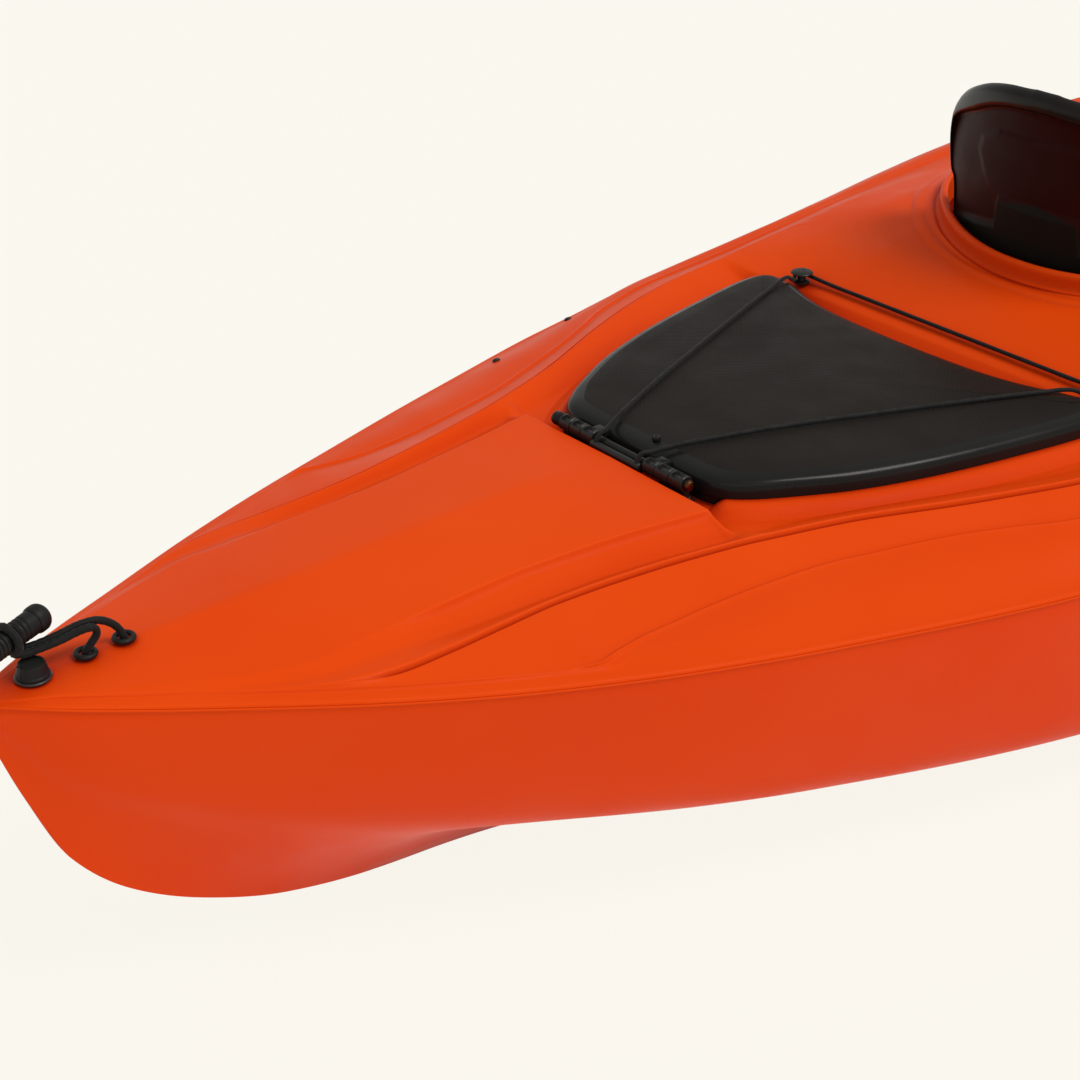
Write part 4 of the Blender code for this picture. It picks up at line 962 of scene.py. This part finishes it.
def make_hinge():
    a, z = HINGE
    floor = RECESS_FLOOR + FIT_GAP
    for label, low, high in (("port", .0490, .0770), ("starboard", -.0770, -.0445)):
        middle = (low + high) / 2
        pocketed(f"hinge_knuckle_{label}", low, middle - .0004, "hull", [f"hinge_bracket_{label}"])
        pocketed(f"hinge_knuckle_end_{label}", middle + .0004, high, "hull")
        blocky(f"hinge_foot_{label}", (along(.5772), low + .0006, floor),
               (along(.5838), high - .0006, .3075), .0010, BLACK, "hull")
        blocky(f"hinge_sole_{label}", (along(.5762), low + .0008, floor),
               (along(.5903), high - .0008, floor + .0030), .0009, BLACK, "hull")
        for k, y in enumerate((low + .006, high - .006)):
            turned(f"hinge_screw_{label}_{k}", [(.0024, 0), (.0025, .0006), (.0019, .0014), (.0008, .0016)],
                   upright(.5872, y, floor + .0029), BLACK, "hull", steps=20)
    for label, low, high in (("port", .0335, .0485), ("starboard", -.0440, -.0300)):
        pocketed(f"lid_knuckle_{label}", low, high, "hatch", [f"cover_hinge_arm_{label}"])
        blocky(f"lid_flange_{label}", (along(.5800), low + .0006, .3074),
               (along(.5945), high - .0006, .3146), .0012, GLOSS_BLACK, "hatch")
    bar = [(.0036, y) for y in (-.0785, -.0300, 0, .0300, .0785)]
    guard = [(.0020, -.0288), (.0030, -.0282), (.0033, -.0270), (.0033, 0), (.0033, .0300), (.0030, .0312),
             (.0020, .0318)]
    knob = [(.0040, .0780), (.0058, .0783), (.0062, .0790), (.0062, .0815), (.0056, .0820), (.0056, .0826),
            (.0062, .0831), (.0062, .0862), (.0056, .0874), (.0030, .0878)]
    pin = [(.0022, -.0826), (.0036, -.0824), (.0044, -.0817), (.0046, -.0808), (.0046, -.0792),
           (.0040, -.0788)]
    axis = sideways(a, 0, z)
    turned("hinge_pin_rod", bar, axis, GLOSS_BLACK, "hull", ["hinge_rod"], steps=28)
    turned("hinge_guard_bar", guard, sideways(a - .0071, 0, z - .0012), BLACK, "hull", ["hinge_sleeve"],
           steps=28)
    turned("hinge_knob", knob, axis, GLOSS_BLACK, "hull", ["hinge_rod_cap_port"])
    turned("hinge_pin_head", pin, axis, BRASS, "hull", ["hinge_rod_cap_starboard"])
    peg = [(.0036, -.0010), (.0036, .0012), (.0030, .0020), (.0016, .0022), (.0013, .0016), (.0006, .0016)]
    spot = (.606, -.011)
    turned("lid_vent_peg", peg, upright(*spot, lid_height(*spot, cover_curve()[0])), GLOSS_BLACK, "hatch",
           steps=24)


# Carry handles and drain plug

GRIP_NECK = 0.0078
CAP_RADIUS = 0.0102
PLUG_SCALE = (0.91, 0.93)
FLUTES = 6
FLUTE_DEPTH = 0.022
LEASH_RADIUS = 0.0012
RIVETS = (("aft", 0.670), ("fore", 0.787))
RIVET_INSET = 0.024
RIVET_REACH = 0.003


def handle_axes():
    """Direction of the stern grip and the level direction across it."""
    level = math.cos(GRIP_PITCH)
    direction = Vector((math.cos(GRIP_YAW) * level, math.sin(GRIP_YAW) * level, -math.sin(GRIP_PITCH)))
    return direction, Vector((-direction.y, direction.x, 0)).normalized()


def end_point(end, point):
    """Place measured from an end of the boat as world coordinates: the bow mirrors the stern."""
    a, y, z = point
    if end == "stern":
        return (along(a), y, z)
    return (-along(a), -y, z + deck_height(LENGTH - .06, 0) - deck_height(.06, 0))


def cord_route(end):
    """Both legs of the handle's cord, from under one grommet to under the other."""
    direction, across = handle_axes()
    up = direction.cross(across)
    centre = Vector(GRIP_CENTRE)
    loop = GRIP_NECK + CORD_RADIUS + .0004
    round_grip = []
    for degrees in (-70, -20, 30, 90, 150, 200, 250):
        turn = math.radians(degrees)
        round_grip.append(tuple(centre + across * loop * math.cos(turn) + up * loop * math.sin(turn)))
    aft, fore = GROMMETS
    first = [(fore, 0, .288), (fore, 0, .300), (fore, 0, .311), (.1105, .0012, .3180), (.105, .0028, .3255),
             (.095, .0042, .3312), (.082, .0055, .3318), (.067, .0070, .3290), (.052, .0095, .3262),
             (.0385, .0112, .3262)]
    second = [(.0400, .0034, .3260), (.052, .0038, .3254), (.066, .0020, .3272), (.080, -.0002, .3304),
              (.0895, -.0010, .3298), (.0915, -.0010, .3240), (.0860, -.0004, .3170), (aft, 0, .311),
              (aft, 0, .300), (aft, 0, .288)]
    return [end_point(end, point) for point in first + round_grip + second]


def make_handle(end):
    body = f"{end}_handle"
    for label, distance in zip(("outer", "inner"), GROMMETS):
        a = distance if end == "stern" else LENGTH - distance
        top = clear_height([(a + shift, 0) for shift in (-.009, 0, .009)])
        ring = [(.0067 + .0021 * math.cos(t), .0020 + .0020 * math.sin(t)) for t in np.arange(0, 6.2, .42)]
        turned(f"{end}_eyelet_{label}", ring, upright(a, 0, top), RUBBER_TRIM, "hull",
               [f"{end}_grommet_{label}"], closed=True)
    cord = tube(f"{end}_pull_cord", eased(cord_route(end), 8), CORD_RADIUS + .0004, CORD, None,
                [f"{end}_handle_cord"], sides=20, strands=6, pitch=.010)
    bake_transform(cord)
    direction, _ = handle_axes()
    if end == "bow":
        direction = Vector((-direction.x, -direction.y, direction.z))
    turn = direction.to_track_quat("Z", "Y").to_matrix().to_4x4()
    place = Matrix.Translation(end_point(end, GRIP_CENTRE)) @ turn
    barrel = [(.0040, -.0239), (.0090, -.0239)]
    for t in np.linspace(-.0236, .0236, 130):
        if abs(t) < .0126:
            rib = abs(math.sin(math.pi * t / .0036)) ** .6
        else:
            rib = 1 - math.exp(-((abs(t) - .0146) / .0007) ** 2)
        barrel.append((.0077 + ease(abs(t), .0046, .0056) * (.0003 + .0011 * rib), float(t)))
    barrel += [(.0090, .0239), (.0040, .0239)]
    turned(f"{end}_grip_barrel", barrel, place, RUBBER, body, [f"{end}_handle_barrel"], steps=56)
    cap = [(.0060, .0242), (.0092, .0242), (.0094, .0247), (.0100, .0256), (CAP_RADIUS, .0268),
           (CAP_RADIUS, .0285)]
    for t in np.linspace(0, 1.5, 14):
        cap.append((CAP_RADIUS * math.cos(t), GRIP_LENGTH / 2 - .0078 + .0078 * math.sin(t)))
    for label, sign in (("inner", 1), ("outer", -1)):
        turned(f"{end}_grip_end_{label}", [(radius, sign * height) for radius, height in cap], place, RUBBER,
               body, [f"{end}_handle_cap_{label}"], steps=56)


def make_plug():
    """Drain plug with six shallow flutes, the ring under it and the tether to the stern handle."""
    around = [(PLUG_PLACE + shift, y) for shift in (-.015, .015) for y in (0, .015)]
    place = upright(PLUG_PLACE, 0, clear_height(around))
    ring = [(.0086, 0), (.0130, 0), (.0132, .0005), (.0129, .0012), (.0122, .0016), (.0092, .0016),
            (.0086, .0012)]
    turned("drain_plug_ring", ring, place, PLUG_RIM, "hull", ["drain_plug_seat"], closed=True)
    profile = [(.0016, .0119), (.0080, .0119), (.0086, .0123), (.0092, .0128), (.0100, .0127), (.0105, .0119)]
    profile += [(.0106 + .0016 * share, .0116 - .0070 * share) for share in np.linspace(0, 1, 8)]
    profile += [(.0126, .0042), (.0130, .0037), (.0130, .0023), (.0126, .0020), (.0074, .0020),
                (.0070, .0010), (.0070, -.0105), (.0060, -.0120)]
    loops = revolved([(radius * PLUG_SCALE[0], height * PLUG_SCALE[1]) for radius, height in profile], 96)
    for loop, (radius, height) in zip(loops, profile):
        if .0045 < height < .0117 and radius > .0104:
            for k, (x, y, z) in enumerate(loop):
                flute = 1 - FLUTE_DEPTH * max(0, math.cos(2 * math.pi * k / FLUTES)) ** 2
                loop[k] = (x * flute, y * flute, z)
    lofted("drain_plug_head", moved(loops, place), RUBBER, "drain_plug_screw", ["drain_plug"])
    lead = [(.0300, -.0060, .3243), (.0330, -.0005, .3205), (.0346, .0035, .3160), (.0354, .0056, .3115),
            (.0358, .0066, .3075)]
    route = [end_point("stern", point) for point in lead]
    strap = tube("plug_leash", eased(route, 6), LEASH_RADIUS, RUBBER, None, ["plug_tether"], sides=12)
    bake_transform(strap)


def make_rivets():
    head = [(.0018, -.0012), (.0040, -.0004), (.0041, .0004), (.0036, .0013), (.0024, .0021), (.0008, .0024)]
    for label, aft in RIVETS:
        breadth = through(HALF_BEAM, aft) - RIVET_INSET
        rise = deck_height(aft, breadth + RIVET_REACH) - deck_height(aft, breadth - RIVET_REACH)
        slope = rise / (2 * RIVET_REACH)
        place = upright(aft, breadth, deck_height(aft, breadth) + .0006)
        place = place @ Matrix.Rotation(-math.atan(slope), 4, "X").inverted()
        turned(f"rivet_{label}", head, place, BLACK, "hull", [f"gunwale_rivet_{label}"], steps=24)


# Backrest and seat

# Heights and half breadths, up one side
BACKREST_OUTLINE = [(.150, .118), (.250, .130), (.345, .136), (.392, .140), (.402, .150), (.430, .156),
                    (.452, .152), (.472, .141), (.487, .124), (.500, .100), (.5102, .074), (.5165, .046),
                    (.5190, .018), (.5215, 0)]
BACKREST_CENTRE = .335
BACKREST_REACH = .140
INNER_PANEL = [(.340, .046), (.368, .048), (.400, .055), (.420, .075), (.440, .088), (.455, .084),
               (.466, .060), (.471, .020), (.472, 0)]
RIM_WIDTH = .0115
CHANNEL_WIDTH = 0.0065
PUCKER_WAVES = (420, 60)
SAG = 0.0012
PAN_START = 1.185
PAN_LENGTH = 0.385


def backrest_line(breadth, height):
    """Distance from the stern of the backrest's rear face."""
    return 1.106 + 2.4 * breadth * breadth - .10 * (height - .36)


def backrest_outline():
    """Closed outline of the backrest, breadths and heights, smooth and evenly spaced."""
    port = [(y, z) for z, y in BACKREST_OUTLINE]
    foot = [(-.060, .148), (0, .1478), (.060, .148)]
    fine = np.array(eased(port + [(-y, z) for y, z in port[-2::-1]] + foot, 14, closed=True))
    for _ in range(5):
        fine = softened(fine)
    return np.clip(fine, (-.156, .150), (.156, .520))


def backrest_ledge(breadth):
    """Height of the ledge across the back: higher in the middle, with a step between."""
    side = abs(breadth)
    outer = .358 + LEDGE_SLOPE * (.137 - min(side, .137))
    return outer + (.404 - outer) * ease(LEDGE_STEP - side, -.003, .003)


def backrest_depth(breadth, height):
    """How deep the hollow of the back lies, with its raised inner panel and the part under the ledge."""
    edge = straight(INNER_PANEL, height)
    panel = .0020 * ease(edge - abs(breadth), -.006, .006) * ease(.474 - height, -.002, .008)
    under = ease(backrest_ledge(breadth) - height, -.0035, .0035)
    return .0022 + .0076 * ease(height, .395, .485) - panel * (1 - under) - .0052 * under


def make_backrest():
    """Shell from its front face round the rim, narrow at the sides, into the hollow of its back."""
    outline = backrest_outline()
    centre = np.array([0, BACKREST_CENTRE])
    front = [(.1390, .0155), (.0900, .0155), (.0450, .0155), (.0150, .0155), (.0060, .0150), (.0025, .0138),
             (.0008, .0115)]
    outside = [(0, .0085), (.0012, .0050), (.0030, .0024), (.0055, .0008), (.0090, .0001), (RIM_WIDTH, 0)]
    inside = [(.0020, .09), (.0035, .30), (.0043, .58), (.0051, .83), (.0065, .96), (.0090, 1.0)]
    narrow = np.array([[.07 + .93 * ease(z, .435, .500)] for z in outline[:, 1]])
    wide = np.maximum(narrow, .35)
    loops = []

    def inset_by(inset):
        return centre + (outline - centre) * (1 - inset / BACKREST_REACH)

    def add_loop(spots, depth=0.0, share=0.0):
        loops.append([(along(backrest_line(y, z) + depth + share * backrest_depth(y, z)), y, z)
                      for y, z in spots])

    for inset, depth in front:
        add_loop(inset_by(inset), depth)
    for inset, depth in outside:
        add_loop(inset_by(inset * wide), depth)
    for inset, share in inside:
        spots = inset_by(RIM_WIDTH * wide + inset * narrow)
        add_loop(spots, share=share)
    first_hollow = (len(loops) - 2) * len(outline)
    for share in np.linspace(1, .02, 76)[1:]:
        add_loop(centre + (spots - centre) * share, share=1.0)
    shell = lofted("backrest_moulding", loops, BACK_BLACK, "backrest", ["backrest_shell"], angle=60)
    shell.data.materials.append(BACK_HOLLOW[0])
    for polygon in shell.data.polygons:
        polygon.material_index = int(polygon.index >= first_hollow)


def cushion_outline(half_wide, half_high, count=96):
    """Closed outline with round corners, whose sides pull in between them."""
    outline = []
    for turn in turns(count):
        u, v = [math.copysign(abs(reach) ** .42, reach) for reach in (math.cos(turn), math.sin(turn))]
        outline.append((half_wide * u * (1 - .045 * (1 - v * v)), half_high * v * (1 - .045 * (1 - u * u))))
    return outline


def cushion(name, half_wide, half_high, thick, place, channels, body, stands_for):
    """Crowned closed cushion: place turns breadth, length and height over its base into a point."""
    outline = cushion_outline(half_wide, half_high)
    under = [(.07, 0), (.30, 0), (.60, 0), (.85, 0), (.95, .02), (.985, .05)]
    levels = [(1.0, .10), (1.0, .16), (.996, .26), (.985, .40), (.965, .54), (.935, .67), (.89, .79),
              (.83, .88), (.75, .945), (.66, .98), (.56, .995)]
    crown = [(share, 1.0) for share in (.46, .36, .26, .16, .07)]
    loops = []
    for share, rise in under + levels + crown:
        loop = []
        for u, v in outline:
            u, v = u * share, v * share
            height = thick * rise
            if rise > .3:
                nearest = min(abs(v - channel * half_high) for channel in channels)
                sink = math.exp(-(nearest / CHANNEL_WIDTH) ** 2)
                puckers = .5 + .5 * math.sin(u * PUCKER_WAVES[0] + v * PUCKER_WAVES[1])
                height -= thick * rise * (.30 + .05 * puckers) * sink * (1 - ease(share, .93, .99))
                height += SAG * math.sin(u * 46 + 1.3) * math.sin(v * 39 + .4) * rise
            loop.append(place(u, v, height))
        loops.append(loop)
    made = lofted(name, loops, FABRIC, body, stands_for, angle=70)
    edge = [place(u * 1.004, v * 1.004, thick * .13) for u, v in outline]
    tube(name + "_piping", edge, .0019, PIPING, body, closed=True, sides=10, strands=4)


def pan_height(aft, breadth):
    """Height of the seat pan's top."""
    share = (aft - PAN_START) / PAN_LENGTH
    return .0555 + .014 * ((share - .45) * 2) ** 2 + .034 * (abs(breadth) / .195) ** 3


def on_back(u, v, height):
    """Point of the backrest's cushion."""
    z = .3275 + v
    return (along(backrest_line(u, z) + .0215 + height), u, z)


def on_pan(u, v, height):
    """Point of the seat's cushion."""
    return (along(1.375 + v), u, pan_height(1.375 + v, u) + .0008 + height)


def make_pan():
    """Moulded seat pan with rounded edges and a rib along each side."""
    rows = 64
    columns = 56
    width = columns + 1
    top = []
    low = []
    for i in range(rows + 1):
        a = PAN_START + PAN_LENGTH * i / rows
        for j in range(width):
            share = 2 * j / columns - 1
            y = share * (.185 + .010 * i / rows)
            edge = max(abs(share), abs(2 * i / rows - 1))
            z = pan_height(a, y) - .0075 * ease(edge, .955, 1.0)
            rib = .0012 * (abs(abs(share) - .80) < .03)
            top.append((along(a), y, z + rib))
            low.append((along(a), y, z - .0042))
    faces = [(i * width + j, i * width + j + 1, (i + 1) * width + j + 1, (i + 1) * width + j)
             for i in range(rows) for j in range(columns)]
    shift = len(top)
    faces += [tuple(shift + k for k in face[::-1]) for face in faces]
    rim = list(range(width)) + [(k + 1) * width + columns for k in range(rows)]
    rim += [rows * width + columns - 1 - k for k in range(columns)]
    rim += [(rows - 1 - k) * width for k in range(rows - 1)]
    faces += [(corner, following, following + shift, corner + shift)
              for corner, following in zip(rim, rim[1:] + rim[:1])]
    piece("seat_moulding", top + low, faces, BLACK, "hull", ["seat_pan"], angle=50)


def make_seat():
    cushion("backrest_cushion", .112, .1235, .0200, on_back, (-.48, 0, .48), "backrest", ["backrest_pad"])
    cushion("seat_cushion", .128, .158, .0260, on_pan, (-.5, 0, .5), "hull", ["seat_pad"])
    make_pan()
    for side, label in SIDES:
        low_y, high_y = sorted((side * .095, side * .130))
        blocky(f"seat_rail_{label}", (along(1.20), low_y, .0110), (along(1.54), high_y, .0500), .0050, BLACK,
               "hull", [f"seat_riser_{label}"])
        for k in range(5):
            x = along(1.235 + .0675 * k)
            y = side * .1293
            blocky(f"seat_rail_pad_{label}_{k}", (x - .018, y - .0012, .020), (x + .018, y + .0018, .042),
                   .0011, RUBBER_TRIM, "hull")


# Foot braces

TOOTH_COUNT = 22
PEDAL_RIBS = 7
BRACE_HEIGHT = 0.145


def make_foot_braces():
    for side, label in SIDES:
        low, high = [Vector(corner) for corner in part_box(f"foot_rail_{label}")]
        breadths = sorted((abs(low.y), abs(high.y)))
        ends = [Vector((low.x + .006, side * (breadths[1] - .0062), BRACE_HEIGHT)),
                Vector((high.x - .006, side * (breadths[0] + .0062), BRACE_HEIGHT))]
        run = (ends[1] - ends[0]).normalized()
        turn = Matrix.Rotation(math.atan2(run.y, run.x), 4, "Z")
        place = Matrix.Translation((ends[0] + ends[1]) / 2) @ turn
        half = (ends[1] - ends[0]).length / 2
        blocky(f"foot_track_{label}", (-half, -.0050, -.014), (half, .0050, .014), .0022, BLACK, "hull",
               [f"foot_rail_{label}"], place)
        tooth_from, tooth_to = (-.0054, -.0044) if side > 0 else (.0044, .0054)
        for k in range(TOOTH_COUNT):
            at = -.125 + .0119 * k
            blocky(f"track_tooth_{label}_{k}", (at, tooth_from, -.0125), (at + .0060, tooth_to, -.0062),
                   .0008, BLACK, "hull", (), place)
        low, high = [Vector(corner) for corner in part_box(f"foot_pedal_{label}")]
        x = ((low + high) / 2).x
        hand = Matrix.Translation((x, side * .193, BRACE_HEIGHT)) @ turn
        inner, outer = (-.0355, .0275) if side > 0 else (-.0275, .0355)
        body = f"pedal_{label}"
        blocky(f"pedal_tread_{label}", (-.0058, inner, -.0545), (.0058, outer, .0595), .0052, BLACK, body,
               [f"foot_pedal_{label}"], hand)
        for k in range(PEDAL_RIBS):
            z = -.044 + .0152 * k
            blocky(f"pedal_rib_{label}_{k}", (-.0078, inner + .0055, z), (-.0050, outer - .0050, z + .0060),
                   .0013, RUBBER, body, (), hand)
        slider = Matrix.Translation((x, side * .2203, BRACE_HEIGHT)) @ turn
        blocky(f"pedal_slider_{label}", (-.0295, -.0040, -.0175), (.0295, .0040, .0175), .0026, BLACK, body,
               (), slider)


def make_foam():
    for end, low, high in (("stern", (along(.34), -.026, .060), (along(.54), .026, .284)),
                           ("bow", (along(2.40), -.030, .045), (along(2.62), .030, .318))):
        blocky(f"{end}_foam_block", low, high, .0070, FOAM, "hull", [f"{end}_foam_pillar"], segments=4)
        for k, share in enumerate((.33, .67)):
            z = low[2] + (high[2] - low[2]) * share
            blocky(f"{end}_foam_strap_{k}", (low[0] - .0015, low[1] - .0015, z - .010),
                   (high[0] + .0015, high[1] + .0015, z + .010), .0012, RUBBER_TRIM, "hull")


# Finishes of the CAD nodes that stay in sight
CARRIED = {"hatch_gasket": RUBBER, "backrest_hinge_pin": STEEL}
for _, side_label in SIDES:
    CARRIED[f"seam_joint_strip_{side_label}"] = ORANGE
    CARRIED[f"backrest_bracket_{side_label}"] = BLACK
    CARRIED[f"backrest_lug_{side_label}"] = BLACK
    CARRIED[f"foot_rail_screw_{side_label}_aft"] = STEEL
    CARRIED[f"foot_rail_screw_{side_label}_fore"] = STEEL


def dress_carried():
    for name, finish in CARRIED.items():
        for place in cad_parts[name].material_slots:
            place.material = finish[0]


make_shell("hull_skin", hull_half_loop, HULL_ORANGE, "hull_shell", 60)
make_shell("deck_skin", deck_half_loop, ORANGE, "deck_shell", 50)
make_seam_lip()
make_coaming()
make_sill()
make_cover()
make_bungee()
make_hinge()
for boat_end in ("stern", "bow"):
    make_handle(boat_end)
make_plug()
make_rivets()
make_backrest()
make_seat()
make_foot_braces()
make_foam()
dress_carried()


# Stage

CREAM = (.965, .940, .872, 1)
FLOOR_REACH = 40.0
FLOOR_HEIGHT = -.0005
FLOOR_CREAM_SHARE = .95
CAMERA_PLACE = (-1.932, -1.093, 1.039)
CAMERA_YAW = math.radians(50.647)
CAMERA_PITCH = math.radians(28.912)


def turned_to(made, back):
    """Turns a lamp or a camera so that its back is towards a direction."""
    made.rotation_euler = Vector(back).to_track_quat("Z", "Y").to_euler()


def make_floor():
    """Pale floor, nearly plain cream to the camera and in reflections, but not to the lamps."""
    mesh = bpy.data.meshes.new("floor")
    corners = ((-1, -1), (1, -1), (1, 1), (-1, 1))
    points = [(x * FLOOR_REACH, y * FLOOR_REACH, FLOOR_HEIGHT) for x, y in corners]
    mesh.from_pydata(points, [], [(0, 1, 2, 3)])
    paint = bpy.data.materials.new("pale_floor")
    paint.use_nodes = True
    tree = paint.node_tree
    shader = tree.nodes["Principled BSDF"]
    for entry, value in (("Base Color", (.90, .88, .82, 1)), ("Roughness", .9), ("Specular IOR Level", .1)):
        fill(tree, shader.inputs[entry], value)
    paths = node(tree, "LightPath").node.outputs
    seen = node(tree, "Math", paths["Is Camera Ray"], paths["Is Glossy Ray"], operation="MAXIMUM")
    seen = node(tree, "Math", seen, paths["Is Transmission Ray"], operation="MAXIMUM")
    share = node(tree, "Math", seen, FLOOR_CREAM_SHARE, operation="MULTIPLY")
    glow = node(tree, "Emission", color=CREAM, strength=1.0)
    surface = node(tree, "MixShader", share, shader.outputs[0], glow)
    fill(tree, tree.nodes["Material Output"].inputs["Surface"], surface)
    mesh.materials.append(paint)
    added(bpy.data.objects.new("floor", mesh))


def make_world():
    """Even light from all round; the camera itself sees plain cream."""
    world = bpy.data.worlds.new("studio")
    bpy.context.scene.world = world
    world.use_nodes = True
    tree = world.node_tree
    room = tree.nodes["Background"]
    fill(tree, room.inputs["Color"], (1.0, .99, .97, 1))
    fill(tree, room.inputs["Strength"], .52)
    plain = node(tree, "Background", color=CREAM, strength=1.0)
    by_camera = node(tree, "LightPath", output="Is Camera Ray")
    fill(tree, tree.nodes["World Output"].inputs["Surface"],
         node(tree, "MixShader", by_camera, room.outputs[0], plain))


def make_lamps():
    sun = bpy.data.lights.new("soft_key", "SUN")
    sun.energy = 1.6
    sun.angle = math.radians(25)
    sun.color = (1.0, .98, .95)
    turned_to(added(bpy.data.objects.new("soft_key", sun)), (.30, -.62, 1.0))
    panel = bpy.data.lights.new("soft_panel", "AREA")
    panel.shape = "RECTANGLE"
    panel.size = 3.2
    panel.size_y = 1.0
    panel.energy = 5
    above = added(bpy.data.objects.new("soft_panel", panel))
    above.location = (-2.6, -1.8, 2.6)
    turned_to(above, above.location - Vector((-.8, 0, .3)))


def make_camera():
    """Camera above the stern on the starboard side, as in the photograph."""
    lens = bpy.data.cameras.new("photo_camera")
    lens.lens = 65.55
    lens.sensor_width = 36
    lens.sensor_fit = "HORIZONTAL"
    lens.clip_start = .02
    lens.clip_end = 100
    camera = added(bpy.data.objects.new("photo_camera", lens))
    camera.location = CAMERA_PLACE
    level = math.cos(CAMERA_PITCH)
    ahead = Vector((level * math.cos(CAMERA_YAW), level * math.sin(CAMERA_YAW), -math.sin(CAMERA_PITCH)))
    camera.rotation_euler = ahead.to_track_quat("-Z", "Y").to_euler()
    bpy.context.scene.camera = camera
    bpy.context.scene.view_settings.view_transform = "Standard"


make_floor()
make_world()
make_lamps()
make_camera()
